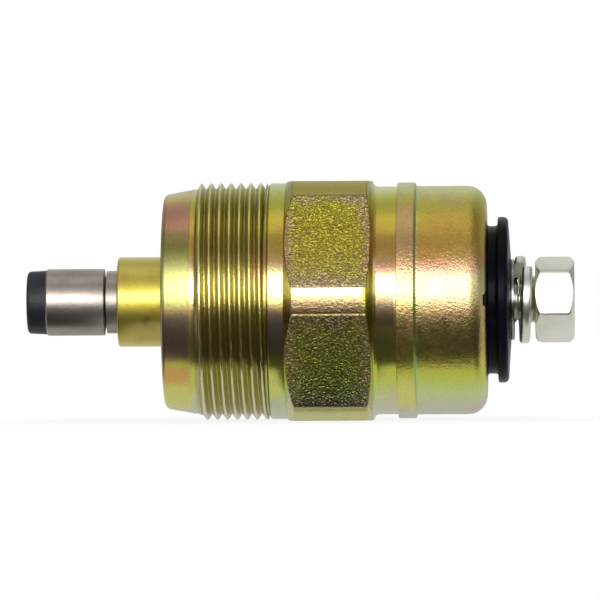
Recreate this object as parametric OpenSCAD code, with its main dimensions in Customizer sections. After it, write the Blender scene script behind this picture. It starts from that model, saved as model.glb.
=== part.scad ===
// Fuel shutoff solenoid, screw-in type, with a spring-loaded plunger and a screw terminal.
// Millimetres. The axis runs along X, plunger tip towards -X, terminal towards +X, +Z up.
// Origin: on the axis where the pilot land meets the front of the hexagon.
// The part lies on one flat of its hexagon.

/* [View] */

// Piece to draw, "all" for the whole part

/* [Housing, outside] */

// Crest diameter of the mounting thread
thread_d = 23.8; // [20:0.1:26]
// Length of the threaded zone, with its chamfer, up to the runout groove
thread_len = 6.95; // [5:0.05:9]
// Chamfer at the front of the thread
thread_chamfer = 0.3; // [0.1:0.05:0.5]
// Width of the runout groove behind the thread
runout_w = 0.2; // [0.15:0.05:0.4]
// Depth of the runout groove below the thread crest
runout_depth = 0.5; // [0.3:0.05:0.7]
// Step from the thread's crest down to the pilot land
land_step = 0.05; // [0.02:0.01:0.2]
// Length of the pilot land
land_len = 1.7; // [1.2:0.05:2.5]
// Chamfer at the front of the pilot land
land_chamfer = 0.2; // [0.1:0.05:0.4]
// Height of the hexagon's flats above the thread's crest
hex_step = 0.1; // [0.05:0.05:0.5]
// Height of the hexagon's turned corners above its flats
corner_rise = 1.125; // [0.6:0.025:1.4]
// Length of the hexagon's flats
hex_len = 8.7; // [7:0.05:11]
// Axial length of the turned cone at the front of the hexagon's corners
hex_front_cone = 0.85; // [0.5:0.05:1.5]
// Axial length of the turned cone at the rear of the hexagon's corners
hex_rear_cone = 0.4; // [0.2:0.05:1]
// Step from the can's mouth ring down to the neck behind the hexagon
neck_step = 0.4; // [0.2:0.05:0.8]
// Length of the neck, from the hexagon to the can's mouth
neck_len = 2.5; // [1.5:0.05:4]
// Radius of the fillet between hexagon and neck
neck_fillet = 0.4; // [0.2:0.05:0.6]
// Length of the plain nose in front of the thread
nose_len = 3.4; // [2.5:0.05:5]
// Fall of the nose's cone towards its front face, in radius
nose_fall = 0.52; // [0.2:0.02:1]
// Step from the short cylinder down to the nose's cone
nose_cone_step = 0.04; // [0.02:0.01:0.1]
// Length of the short cylinder between nose cone and thread
nose_land_len = 0.6; // [0.3:0.05:1.2]
// Step from the thread's crest down to that short cylinder
nose_step = 0.62; // [0.4:0.02:0.9]
// Rounding of the nose's front edge
nose_round = 0.6; // [0.3:0.05:1]

/* [Housing, inside] */

// Thickness of the housing's wall round the coil chamber, at its rear end
spigot_wall = 1.3; // [1:0.05:1.8]
// Thickness of the front wall that holds the guide tube
front_wall = 4.95; // [3.5:0.05:6]
// Running gap between guide tube and front wall bore
tube_bore_gap = 0.03; // [0.02:0.01:0.08]
// Depth of the seal groove in the front wall bore, from the tube's surface
nose_groove_depth = 1.2; // [0.9:0.05:1.6]
// Width of the seal groove in the front wall bore
nose_groove_w = 1.8; // [1.7:0.05:2.4]

/* [Rear can] */

// Step from the belled mouth ring down to the can's body
bell_step = 0.37; // [0.2:0.01:0.6]
// Wall thickness of the can
can_wall = 0.85; // [0.6:0.05:1]
// Length of the belled mouth ring
ring_len = 1.75; // [1.2:0.05:3]
// Axial length of the slope from ring to body
ring_slope = 0.2; // [0.1:0.05:0.6]
// Overall length of the can
can_len = 8.93; // [7:0.01:12]
// Outer rounding between the can's body and its end
can_round = 2; // [1.2:0.1:3]
// Width of the flat ring round the hole in the can's end
can_end_land = 1.93; // [1.2:0.01:3]
// Radius of the half-round key notch across the can's end
notch_r = 0.73; // [0.5:0.01:1]
// Depth of the key notch
notch_depth = 0.5; // [0.3:0.05:0.6]
// Distance of the key notch's outer end from the can's side
notch_inset = 0.88; // [0.4:0.02:1.5]

/* [Guide tube] */

// Wall thickness of the guide tube
tube_wall = 1.1; // [0.8:0.05:1.5]
// Running gap between guide tube and plunger
plunger_gap = 0.05; // [0.03:0.01:0.1]
// Length of the tube that stands out of the nose
tube_out = 4.7; // [3:0.05:6]
// Thickness of the rolled-in lip at the tube's mouth
lip_len = 0.8; // [0.6:0.05:1.2]
// Gap between the rolled-in lip and the plunger's neck
lip_gap = 0.05; // [0.03:0.01:0.1]
// Rounding of the tube's mouth
tube_round = 0.25; // [0.1:0.05:0.4]
// Distance from the flange's rim to the middle of the earth lead
flange_inset = 0.9; // [0.6:0.05:1.5]
// Thickness of that flange
tube_flange_t = 0.8; // [0.5:0.05:1.2]

/* [Plunger] */

// Diameter of the plunger's head and guide land
plunger_d = 6.7; // [6:0.05:7.1]
// Depth of the neck that runs through the tube's lip
neck_relief = 0.2; // [0.1:0.05:0.4]
// Length of the head in front of the neck
head_len = 6.1; // [4:0.05:8]
// Gap between the head and the tube's mouth at rest
head_gap = 1.15; // [1.05:0.05:2]
// Travel of the plunger
stroke = 1; // [0.5:0.05:1]
// Clearance left at both ends of the travel
end_gap = 0.02; // [0.01:0.005:0.04]
// Length of the guide land behind the lip
guide_land_len = 18.1; // [16:0.05:20]
// Edge chamfer of the head
head_chamfer = 0.15; // [0.05:0.05:0.3]

/* [Plunger tip] */

// Step from the plunger's head down to the rubber tip
tip_step = 0.13; // [0.05:0.01:0.3]
// Taper of the rubber tip towards its front, in radius
tip_taper = 0.1; // [0:0.01:0.3]
// Length of the tip in front of the plunger
tip_len = 1.9; // [1.2:0.05:3]
// Rounding of the tip's front edge
tip_round = 0.4; // [0.2:0.05:0.6]
// Diameter of the stem that anchors the tip
stem_d = 3.2; // [2.5:0.1:4]
// Length of the stem
stem_len = 2.6; // [2:0.1:4]
// Height of the bead at the stem's end
bead_rise = 0.5; // [0.2:0.05:0.9]
// Length of the bead
bead_len = 0.7; // [0.5:0.05:1]
// Gap between stem and pocket
stem_gap = 0.03; // [0.01:0.01:0.06]

/* [Return spring and pole core] */

// Mean diameter of the return spring
spring_d = 3.1; // [2.6:0.05:3.3]
// Wire diameter of the return spring
spring_wire = 0.45; // [0.3:0.05:0.6]
// Number of coils between the closed ends
spring_coils = 7; // [5:1:9]
// Gap round the spring in its pockets
spring_gap = 0.225; // [0.1:0.025:0.4]
// Depth of the spring pocket in the plunger
plunger_pocket = 5; // [3:0.1:8]
// Depth of the spring pocket in the pole core
core_pocket = 3; // [2:0.1:5]
// Gap between pole core and tube bore
core_gap = 0.02; // [0.01:0.01:0.05]
// Thickness of the stop shim
shim_t = 0.2; // [0.1:0.05:0.3]
// Distance from the spring pocket to the stop shim's bore
shim_bore_step = 0.2; // [0.05:0.05:0.4]
// Distance from the plunger's side to the stop shim's rim
shim_inset = 0.15; // [0.05:0.05:0.4]
// Overhang of the pole core's staked head over the hole in the flux plate
core_head_over = 1.2; // [0.6:0.05:1.8]
// Thickness of the staked head of the pole core
core_head_t = 0.9; // [0.6:0.05:1.2]
// Depth of the seal groove in the pole core, from the tube bore
core_groove_depth = 0.9; // [0.7:0.05:1.1]
// Width of the seal groove in the pole core
core_groove_w = 1.3; // [1.2:0.05:1.8]
// Distance from the flux plate to the middle of that groove
core_groove_back = 2; // [1.2:0.1:4]

/* [Coil] */

// Gap between bobbin and guide tube
bobbin_gap = 0.05; // [0.02:0.01:0.1]
// Wall thickness of the bobbin's barrel
bobbin_wall = 0.75; // [0.5:0.05:1]
// Thickness of the bobbin's flanges
bobbin_flange_t = 0.9; // [0.6:0.05:1.2]
// Gap between the bobbin's flanges and the coil chamber
bobbin_side_gap = 0.2; // [0.1:0.05:0.4]
// Distance from the bobbin's rim down to the winding
winding_inset = 0.9; // [0.4:0.05:1.8]
// Thickness of the tape round the winding
tape_t = 0.2; // [0.1:0.05:0.3]
// Diameter of the insulated leads
lead_d = 0.7; // [0.5:0.05:0.9]
// Depth of the terminal lead under the winding's outside
lead_inset = 0.8; // [0.5:0.05:1.1]
// Gap round a lead in its holes
lead_gap = 0.15; // [0.05:0.05:0.3]
// Depth of the earth lead under the winding's outside
earth_inset = 0.7; // [0.5:0.05:1]
// Distance from the wave washer's rim to the middle of the terminal lead
wave_inset = 0.8; // [0.6:0.05:1.4]
// Gap between the wave washer and the guide tube
wave_bore_gap = 0.5; // [0.2:0.05:0.8]
// Thickness of the wave washer
wave_t = 0.3; // [0.2:0.05:0.4]
// Height of the wave washer as fitted
wave_h = 0.7; // [0.5:0.05:1]
// Number of waves
wave_n = 3; // [2:1:5]

/* [Flux plate] */

// Thickness of the flux plate
plate_t = 2; // [1.5:0.05:2.5]
// Gap between flux plate and can
plate_gap = 0.13; // [0.05:0.01:0.25]

/* [Insulator and insert] */

// Gap between the insulator's base and the can's wall
base_gap = 0.43; // [0.3:0.01:0.8]
// Room between the terminal lead and the side of the hollow under the base
hollow_room = 0.8; // [0.5:0.05:1.2]
// Thickness of the base above the hollow
base_t = 1.48; // [1.2:0.02:1.8]
// Thickness of the gasket between base and can
gasket_t = 0.5; // [0.3:0.05:0.7]
// Gap between insulator and can hole
hole_gap = 0.03; // [0.02:0.01:0.1]
// Step from the insulator's neck down to the boot groove
groove_step = 0.1; // [0.05:0.01:0.8]
// Width of the boot groove
groove_w = 1.2; // [0.8:0.05:2]
// Fillet at both ends of the boot groove
groove_fillet = 0.1; // [0.04:0.01:0.2]
// Overhang of the insulator's flange over the hole in the can
flange_over = 0.78; // [0.4:0.02:1.5]
// Thickness of the insulator's flange at its rim
flange_t = 0.93; // [0.7:0.01:1.5]
// Rounding of the flange's rear edge
flange_round = 0.5; // [0.2:0.05:0.6]
// Height of the gentle cone on the insulator's rear face
flange_cone = 0.31; // [0.1:0.01:0.5]
// Gap between the insulator's key and the can's notch
key_gap = 0.05; // [0.02:0.01:0.1]
// Distance from the key's outer end to the notch's outer end
key_short = 0.6; // [0.3:0.05:1.2]
// Wall thickness of the insert's barrel
insert_wall = 1; // [0.7:0.05:1.4]
// Length of barrel that shows in the hollow
insert_show = 1; // [0.6:0.05:1.2]
// Width of the insert's flange round its barrel
insert_flange_w = 0.56; // [0.3:0.02:1]
// Thickness of the insert's flange
insert_flange_t = 0.31; // [0.2:0.01:0.5]
// Depth of the anchoring groove in the insert's barrel
insert_groove = 0.4; // [0.2:0.05:0.6]
// Width of the anchoring groove in the insert's barrel
insert_groove_w = 0.9; // [0.5:0.05:1.2]
// Thickness of the closed bottom of the insert
insert_floor = 0.7; // [0.5:0.05:1]

/* [Terminal screw and lock washer] */

// Thread diameter of the terminal screw
screw_d = 4.9; // [4:0.1:5.2]
// Gap between the screw's thread and the insert
screw_gap = 0.05; // [0.02:0.01:0.1]
// Gap between the screw's end and the bottom of the insert
screw_end_gap = 0.4; // [0.2:0.05:1]
// Chamfer at the screw's end
screw_chamfer = 0.5; // [0.2:0.05:0.8]
// Overhang of the head's flats over the screw's thread
head_over = 1.45; // [1:0.05:2]
// Height of the head's turned corners above its flats
head_corner_rise = 0.55; // [0.3:0.01:0.58]
// Height of the screw's head
head_h = 3.93; // [3:0.01:5]
// Axial length of the turned cones at both ends of the head's corners
head_cone = 0.4; // [0.2:0.05:0.7]
// Turn of the head about its axis, in degrees
head_turn = 11; // [0:1:60]
// Gap between the lock washer and the screw's thread
washer_gap = 0.15; // [0.05:0.05:0.3]
// Width of the lock washer's section
washer_w = 1.8; // [1.2:0.05:2.4]
// Thickness of the lock washer
washer_t = 1.03; // [0.8:0.01:1.4]
// Axial rise of the lock washer over one turn
washer_rise = 0.8; // [0.4:0.05:1.1]
// Thread left showing between the lock washer and the screw's head
head_play = 0.26; // [0:0.01:0.6]
// Angle of the split's opening, in degrees
split_open = 9; // [4:1:20]
// Place of the split, in degrees above the front
split_turn = 54; // [0:1:180]

/* [Hidden] */

// smoothness
$fa = 3;
$fs = 0.1;
// overlap that lets one cut pass clean through a face
eps = 0.05;
// half the angle between two corners of a hexagon
half_corner = 30;
// depth by which the key and its notch start inside the hole's edge
key_start = 0.5;
// overshoot of cuts that run out into the open
past = 1;
// segments of one turn of the swept rings
ring_steps = 72;
// segments of one coil of the spring and points round its wire
coil_steps = 24;
wire_points = 8;

// stations along the axis, front to rear
thread_x1 = -land_len - runout_w;
thread_x0 = thread_x1 - thread_len;
nose_x0 = thread_x0 - nose_len;
nose_cone_x1 = thread_x0 - nose_land_len;
chamber_x0 = nose_x0 + front_wall;
tube_x0 = nose_x0 - tube_out;
lip_x1 = tube_x0 + lip_len;
neck_x1 = hex_len + neck_len;
spigot_x1 = neck_x1 + ring_len;
can_x1 = neck_x1 + can_len;
can_floor_x = can_x1 - can_wall;
plate_x1 = spigot_x1 + plate_t;

// diameters that follow from the thread, outside
land_d = thread_d - 2 * land_step;
hex_af = thread_d + 2 * hex_step;
hex_corner_d = hex_af + 2 * corner_rise;
nose_land_d = thread_d - 2 * nose_step;
nose_rear_d = nose_land_d - 2 * nose_cone_step;
nose_front_d = nose_rear_d - 2 * nose_fall;
// the can's mouth is as wide as the pilot land
ring_d = land_d;
neck_d = ring_d - 2 * neck_step;
can_d = ring_d - 2 * bell_step;
spigot_r = ring_d / 2 - can_wall;
chamber_d = 2 * (spigot_r - spigot_wall);

// diameters that follow from the plunger
tube_bore_d = plunger_d + 2 * plunger_gap;
tube_d = tube_bore_d + 2 * tube_wall;
plunger_neck_d = plunger_d - 2 * neck_relief;
lip_bore_d = plunger_neck_d + 2 * lip_gap;
tip_rear_d = plunger_d - 2 * tip_step;
tip_front_d = tip_rear_d - 2 * tip_taper;
bead_d = stem_d + 2 * bead_rise;
spring_pocket_d = spring_d + spring_wire + 2 * spring_gap;
shim_bore_d = spring_pocket_d + 2 * shim_bore_step;
shim_d = plunger_d - 2 * shim_inset;
core_head_d = tube_bore_d + 2 * core_head_over;

// diameters that follow from the terminal screw
insert_bore_r = screw_d / 2 + screw_gap;
insert_d = 2 * (insert_bore_r + insert_wall);
insert_flange_d = insert_d + 2 * insert_flange_w;
head_af = screw_d + 2 * head_over;
head_corner_d = head_af + 2 * head_corner_rise;
washer_bore_d = screw_d + 2 * washer_gap;
washer_d = washer_bore_d + 2 * washer_w;

// radii
can_in_r = can_d / 2 - can_wall;
tube_r = tube_d / 2;
tube_bore_r = tube_bore_d / 2;
front_bore_r = tube_r + tube_bore_gap;
nose_groove_r = tube_r + nose_groove_depth;
nose_groove_x = (nose_x0 + chamber_x0) / 2;

// nose rounding, tangent to the front face and to the cone
nose_slope = atan((nose_rear_d - nose_front_d) / 2 / (nose_cone_x1 - nose_x0));
nose_c_x = nose_x0 + nose_round;
nose_c_r = nose_front_d / 2 + nose_round * tan(nose_slope) - nose_round / cos(nose_slope);

// plunger stations
head_x1 = tube_x0 - head_gap;
head_x0 = head_x1 - head_len;
guide_x0 = lip_x1 + end_gap;
plunger_x1 = guide_x0 + guide_land_len;
shim_x0 = plunger_x1 + stroke + end_gap;
core_x0 = shim_x0 + shim_t;
core_r = tube_bore_r - core_gap;
core_groove_r = tube_bore_r - core_groove_depth;
core_groove_x = spigot_x1 - core_groove_back;
spring_x0 = plunger_x1 - plunger_pocket;
spring_x1 = core_x0 + core_pocket;

// coil stations
bobbin_x0 = chamber_x0 + tube_flange_t;
bobbin_x1 = spigot_x1 - wave_h;
winding_x0 = bobbin_x0 + bobbin_flange_t;
winding_x1 = bobbin_x1 - bobbin_flange_t;
bobbin_in_r = tube_r + bobbin_gap;
bobbin_r = bobbin_in_r + bobbin_wall;
bobbin_flange_r = chamber_d / 2 - bobbin_side_gap;
winding_r = bobbin_flange_r - winding_inset;
lead_r = lead_d / 2;
lead_at = winding_r - lead_inset;
earth_at = winding_r - earth_inset;
tube_flange_d = 2 * (earth_at - flange_inset);
wave_d = 2 * (lead_at - wave_inset);
wave_bore_d = tube_d + 2 * wave_bore_gap;

// insulator stations
base_x1 = can_floor_x - gasket_t;
hollow_x1 = base_x1 - base_t;
groove_x1 = can_x1 + groove_w;
rim_x1 = groove_x1 + flange_t;
insert_x1 = rim_x1 + flange_cone;
seat_x = insert_x1 + insert_flange_t;
insert_x0 = hollow_x1 - insert_show;
lead_x1 = hollow_x1 - insert_show / 2;
hole_r = can_d / 2 - can_round - can_end_land;
insulator_neck_r = hole_r - hole_gap;
groove_r = insulator_neck_r - groove_step;
flange_d = 2 * (hole_r + flange_over);
base_d = 2 * (can_in_r - base_gap);
hollow_d = 2 * (lead_at + hollow_room);
notch_reach = can_d / 2 - notch_inset;
key_reach = notch_reach - key_short;
insert_r = insert_d / 2;
insert_groove_x = (hollow_x1 + insert_x1) / 2;
key_r = notch_r - key_gap;
notch_x = can_x1 + notch_r - notch_depth;

// screw stations
screw_r = screw_d / 2;
insert_bore_x0 = insert_x0 + insert_floor;
screw_x0 = insert_bore_x0 + screw_end_gap;
head_x = seat_x + washer_rise + washer_t + head_play;
screw_x1 = head_x + head_h;

// turns a profile of [radius, station] about the X axis
module turned() {
    rotate([0, 90, 0]) rotate_extrude() children();
}

// round bar along X between two stations
module bar(x0, x1, r) {
    translate([x0, 0, 0]) rotate([0, 90, 0]) cylinder(h = x1 - x0, r = r);
}

// rectangle of a profile, between two radii and two stations
module band(r0, r1, x0, x1) {
    translate([r0, x0]) square([r1 - r0, x1 - x0]);
}

// corner of a profile left over outside a rounding, at radius r and station x
module rear_corner(r, x, rad) {
    difference() {
        band(r - rad, r + eps, x - rad, x + eps);
        translate([r - rad, x - rad]) circle(r = rad);
    }
}

// the same at the front end of a profile
module front_corner(r, x, rad) {
    difference() {
        band(r - rad, r + eps, x - eps, x + rad);
        translate([r - rad, x + rad]) circle(r = rad);
    }
}

// ring of round section
module seal_ring(x, r_in, r_out) {
    turned() translate([(r_in + r_out) / 2, x]) circle(r = (r_out - r_in) / 2);
}

// hexagonal bar along X, one pair of flats level when turn is 0
module hex_bar(x0, x1, af, turn) {
    translate([x0, 0, 0]) rotate([turn, 0, 0]) rotate([0, 90, 0]) rotate([0, 0, half_corner])
        cylinder(h = x1 - x0, r = af / 2 / cos(half_corner), $fn = 6);
}

// outside of the turned part of the housing
module housing_outline() {
    difference() {
        union() {
            // nose with its rounded edge
            translate([nose_c_r, nose_c_x]) circle(r = nose_round);
            polygon([[0, nose_x0], [nose_c_r, nose_x0], [nose_c_r, nose_c_x],
                [nose_c_r + nose_round * cos(nose_slope), nose_c_x - nose_round * sin(nose_slope)],
                [nose_rear_d / 2, nose_cone_x1], [nose_land_d / 2, nose_cone_x1],
                [nose_land_d / 2, thread_x0], [0, thread_x0]]);
            // thread zone
            polygon([[0, thread_x0], [thread_d / 2 - thread_chamfer, thread_x0],
                [thread_d / 2, thread_x0 + thread_chamfer], [thread_d / 2, thread_x1],
                [thread_d / 2 - runout_depth, thread_x1],
                [thread_d / 2 - runout_depth, -land_len],
                [land_d / 2 - land_chamfer, -land_len],
                [land_d / 2, -land_len + land_chamfer], [land_d / 2, 0], [0, 0]]);
            // core of the hexagon, neck and spigot
            band(0, neck_d / 2, -eps, neck_x1);
            band(0, spigot_r, neck_x1 - eps, spigot_x1);
            // fillet behind the hexagon
            difference() {
                band(0, neck_d / 2 + neck_fillet, hex_len - eps, hex_len + neck_fillet);
                translate([neck_d / 2 + neck_fillet, hex_len + neck_fillet])
                    circle(r = neck_fillet);
            }
        }
        band(-thread_d, 0, nose_x0 - past, spigot_x1 + past);
    }
}

// hexagon with its turned corners
module hexagon() {
    intersection() {
        hex_bar(0, hex_len, hex_af, 0);
        turned() polygon([[0, 0], [land_d / 2, 0], [hex_corner_d / 2, hex_front_cone],
            [hex_corner_d / 2, hex_len - hex_rear_cone], [hex_af / 2, hex_len], [0, hex_len]]);
    }
}

// steel housing
module housing() {
    color([0.62, 0.58, 0.35]) difference() {
        union() {
            turned() housing_outline();
            hexagon();
        }
        turned() {
            band(0, front_bore_r, nose_x0 - past, chamber_x0 + eps);
            band(0, nose_groove_r, nose_groove_x - nose_groove_w / 2,
                nose_groove_x + nose_groove_w / 2);
            band(0, chamber_d / 2, chamber_x0, spigot_x1 + past);
        }
    }
}

// drawn steel can with its belled mouth
module rear_can() {
    color([0.6, 0.58, 0.38]) difference() {
        turned() difference() {
            union() {
                polygon([[spigot_r, neck_x1], [ring_d / 2, neck_x1], [ring_d / 2, spigot_x1],
                    [can_d / 2, spigot_x1 + ring_slope], [can_in_r, spigot_x1 + ring_slope],
                    [can_in_r, spigot_x1], [spigot_r, spigot_x1]]);
                band(can_in_r, can_d / 2, spigot_x1 + ring_slope - eps, can_x1);
                difference() {
                    band(hole_r, can_d / 2, can_floor_x - can_round, can_x1);
                    band(0, can_in_r, 0, can_floor_x - can_round + can_wall);
                    band(0, can_in_r - can_round + can_wall, 0, can_floor_x);
                    translate([can_in_r - can_round + can_wall,
                        can_floor_x - can_round + can_wall]) circle(r = can_round - can_wall);
                }
            }
            rear_corner(can_d / 2, can_x1, can_round);
        }
        key_bar(notch_r, notch_reach);
    }
}

// half-round bar across the can's end, on the front side
module key_bar(r, reach) {
    translate([notch_x, 0, 0]) rotate([90, 0, 0]) translate([0, 0, hole_r - key_start])
        cylinder(h = reach - hole_r + key_start, r = r);
}

// brass guide tube with its lip and flange
module guide_tube() {
    color([0.85, 0.68, 0.3]) turned() difference() {
        union() {
            band(lip_bore_d / 2, tube_r, tube_x0, lip_x1);
            band(tube_bore_r, tube_r, lip_x1 - eps, spigot_x1);
            band(tube_r - eps, tube_flange_d / 2, chamber_x0, bobbin_x0);
        }
        front_corner(tube_r, tube_x0, tube_round);
    }
}

// turned plunger
module plunger() {
    color([0.55, 0.53, 0.5]) turned() difference() {
        polygon([[0, head_x0], [plunger_d / 2 - head_chamfer, head_x0],
            [plunger_d / 2, head_x0 + head_chamfer], [plunger_d / 2, head_x1],
            [plunger_neck_d / 2, head_x1], [plunger_neck_d / 2, guide_x0],
            [plunger_d / 2, guide_x0], [plunger_d / 2, plunger_x1], [0, plunger_x1]]);
        band(0, stem_d / 2 + stem_gap, head_x0 - past, head_x0 + stem_len + stem_gap);
        band(0, bead_d / 2 + stem_gap, head_x0 + stem_len - bead_len - stem_gap,
            head_x0 + stem_len + stem_gap);
        band(0, spring_pocket_d / 2, spring_x0, plunger_x1 + past);
    }
}

// rubber tip with its anchoring stem
module plunger_tip() {
    color([0.1, 0.1, 0.11]) turned() {
        difference() {
            polygon([[0, head_x0 - tip_len], [tip_front_d / 2, head_x0 - tip_len],
                [tip_front_d / 2, head_x0 - tip_len + tip_round], [tip_rear_d / 2, head_x0],
                [0, head_x0]]);
            front_corner(tip_front_d / 2, head_x0 - tip_len, tip_round);
        }
        band(0, stem_d / 2, head_x0 - eps, head_x0 + stem_len);
        band(0, bead_d / 2, head_x0 + stem_len - bead_len, head_x0 + stem_len);
    }
}

// place on the spring's centre line, t from 0 to 1
function spring_at(t) = let (
    lo = spring_x0 + spring_wire / 2,
    hi = spring_x1 - spring_wire / 2,
    turns = spring_coils + 2,
    u = t * turns,
    pitch = (hi - lo - 2 * spring_wire) / spring_coils,
    x = u < 1 ? lo + u * spring_wire
        : u > turns - 1 ? hi - (turns - u) * spring_wire
        : lo + spring_wire + (u - 1) * pitch
) [x, spring_d / 2 * sin(360 * u), spring_d / 2 * cos(360 * u)];

// closed and evenly wound compression spring
module return_spring() {
    n = coil_steps * (spring_coils + 2);
    w = spring_wire / 2;
    points = [for (i = [0 : n], k = [0 : wire_points - 1])
        let (c = spring_at(i / n), a = 360 * k / wire_points, b = 360 * i / coil_steps)
            c + w * [cos(a), sin(a) * sin(b), sin(a) * cos(b)]];
    sides = [for (i = [0 : n - 1], k = [0 : wire_points - 1])
        let (k1 = (k + 1) % wire_points, p = i * wire_points, q = p + wire_points)
            [p + k, p + k1, q + k1, q + k]];
    front = [for (k = [0 : wire_points - 1]) wire_points - 1 - k];
    back = [for (k = [0 : wire_points - 1]) n * wire_points + k];
    color([0.75, 0.75, 0.76]) polyhedron(points = points, faces = concat(sides, [front, back]));
}

// fixed iron core, staked in the flux plate
module pole_core() {
    color([0.5, 0.5, 0.52]) turned() difference() {
        union() {
            band(0, core_r, core_x0, plate_x1 + eps);
            band(0, core_head_d / 2, plate_x1, plate_x1 + core_head_t);
        }
        band(0, spring_pocket_d / 2, core_x0 - past, spring_x1);
        band(core_groove_r, core_r + past, core_groove_x - core_groove_w / 2,
            core_groove_x + core_groove_w / 2);
    }
}

// thin non-magnetic disc on the pole face
module stop_shim() {
    color([0.8, 0.75, 0.5]) turned() band(shim_bore_d / 2, shim_d / 2, shim_x0, core_x0);
}

// seal between pole core and tube
module core_seal() {
    color([0.12, 0.12, 0.12]) seal_ring(core_groove_x, core_groove_r, tube_bore_r);
}

// seal between tube and housing
module nose_seal() {
    color([0.12, 0.12, 0.12]) seal_ring(nose_groove_x, tube_r, nose_groove_r);
}

// bobbin with a lead hole in each flange
module coil_bobbin() {
    color([0.85, 0.82, 0.75]) difference() {
        turned() {
            band(bobbin_in_r, bobbin_r, bobbin_x0, bobbin_x1);
            band(bobbin_in_r, bobbin_flange_r, bobbin_x0, winding_x0);
            band(bobbin_in_r, bobbin_flange_r, winding_x1, bobbin_x1);
        }
        translate([0, 0, lead_at]) bar(winding_x1 - eps, bobbin_x1 + past, lead_r + lead_gap);
        translate([0, 0, -earth_at]) bar(bobbin_x0 - past, winding_x0 + eps, lead_r + lead_gap);
    }
}

// copper winding
module coil_winding() {
    color([0.75, 0.4, 0.2]) turned() band(bobbin_r, winding_r, winding_x0, winding_x1);
}

// tape round the winding
module winding_tape() {
    color([0.9, 0.8, 0.4]) turned()
        band(winding_r, winding_r + tape_t, winding_x0, winding_x1);
}

// closed ring swept through a list of four-cornered sections
function ring_faces(n, closed) = [for (i = [0 : n - (closed ? 1 : 2)], k = [0 : 3])
    let (j = (i + 1) % n, k1 = (k + 1) % 4) [4 * i + k, 4 * i + k1, 4 * j + k1, 4 * j + k]];

// corners of a flat section at angle a, between two radii and two stations
function ring_section(a, r0, r1, x0, x1) = [
    [x0, -r0 * cos(a), r0 * sin(a)], [x1, -r0 * cos(a), r0 * sin(a)],
    [x1, -r1 * cos(a), r1 * sin(a)], [x0, -r1 * cos(a), r1 * sin(a)]];

// wave washer between bobbin and flux plate
module wave_washer() {
    mid = bobbin_x1 + wave_h / 2;
    sections = [for (i = [0 : ring_steps - 1])
        let (a = 360 * i / ring_steps, x = mid + (wave_h - wave_t) / 2 * cos(wave_n * a))
            ring_section(a, wave_bore_d / 2, wave_d / 2, x - wave_t / 2, x + wave_t / 2)];
    points = [for (s = sections) each s];
    color([0.7, 0.72, 0.75]) polyhedron(points = points, faces = ring_faces(ring_steps, true));
}

// iron plate that joins housing and pole core
module flux_plate() {
    color([0.55, 0.56, 0.58]) difference() {
        turned() band(tube_bore_r, can_in_r - plate_gap, spigot_x1, plate_x1);
        translate([0, 0, lead_at]) bar(spigot_x1 - past, plate_x1 + past, lead_r + lead_gap);
    }
}

// lead from the winding to the insert
module coil_lead() {
    color([0.7, 0.2, 0.15]) {
        translate([0, 0, lead_at]) bar(winding_x1, lead_x1, lead_r);
        translate([lead_x1, 0, lead_at]) sphere(r = lead_r);
        translate([lead_x1, 0, insert_r]) cylinder(h = lead_at - insert_r, r = lead_r);
    }
}

// lead from the winding to the housing
module ground_lead() {
    color([0.75, 0.4, 0.2]) translate([0, 0, -earth_at]) bar(chamber_x0, winding_x0, lead_r);
}

// moulded insulator with base, key, boot groove and flange
module terminal_insulator() {
    color([0.08, 0.08, 0.1]) union() {
        turned() difference() {
            union() {
                band(insert_r, base_d / 2, plate_x1, base_x1);
                band(insert_r, insulator_neck_r, base_x1 - eps, can_x1);
                band(insert_r, groove_r, can_x1 - eps, rim_x1);
                // fillets of the groove
                difference() {
                    band(groove_r - eps, groove_r + groove_fillet, can_x1 - eps,
                        can_x1 + groove_fillet);
                    translate([groove_r + groove_fillet, can_x1 + groove_fillet])
                        circle(r = groove_fillet);
                }
                difference() {
                    band(groove_r - eps, groove_r + groove_fillet, groove_x1 - groove_fillet,
                        groove_x1 + eps);
                    translate([groove_r + groove_fillet, groove_x1 - groove_fillet])
                        circle(r = groove_fillet);
                }
                // flange and its gentle cone
                difference() {
                    band(insert_r, flange_d / 2, groove_x1, rim_x1);
                    rear_corner(flange_d / 2, rim_x1, flange_round);
                }
                polygon([[insert_r, rim_x1 - eps], [flange_d / 2 - flange_round, rim_x1 - eps],
                    [flange_d / 2 - flange_round, rim_x1], [insert_flange_d / 2, insert_x1],
                    [insert_r, insert_x1]]);
                // rib in the insert's groove
                band(insert_r - insert_groove, insert_r + eps,
                    insert_groove_x - insert_groove_w / 2, insert_groove_x + insert_groove_w / 2);
            }
            band(0, hollow_d / 2, plate_x1 - past, hollow_x1);
        }
        // key in the can's notch
        intersection() {
            key_bar(key_r, key_reach);
            bar(can_x1 - notch_depth - eps, can_x1, can_d / 2);
        }
    }
}

// flat gasket between insulator and can
module insulator_gasket() {
    color([0.2, 0.2, 0.2]) turned()
        band(hole_r + hole_gap, can_in_r - can_round + can_wall, base_x1, can_floor_x);
}

// tapped metal insert
module terminal_insert() {
    color([0.8, 0.8, 0.78]) turned() difference() {
        union() {
            band(0, insert_r, insert_x0, insert_x1 + eps);
            band(0, insert_flange_d / 2, insert_x1, seat_x);
        }
        band(0, insert_bore_r, insert_bore_x0, seat_x + past);
        band(insert_r - insert_groove, insert_r + past, insert_groove_x - insert_groove_w / 2,
            insert_groove_x + insert_groove_w / 2);
    }
}

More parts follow.
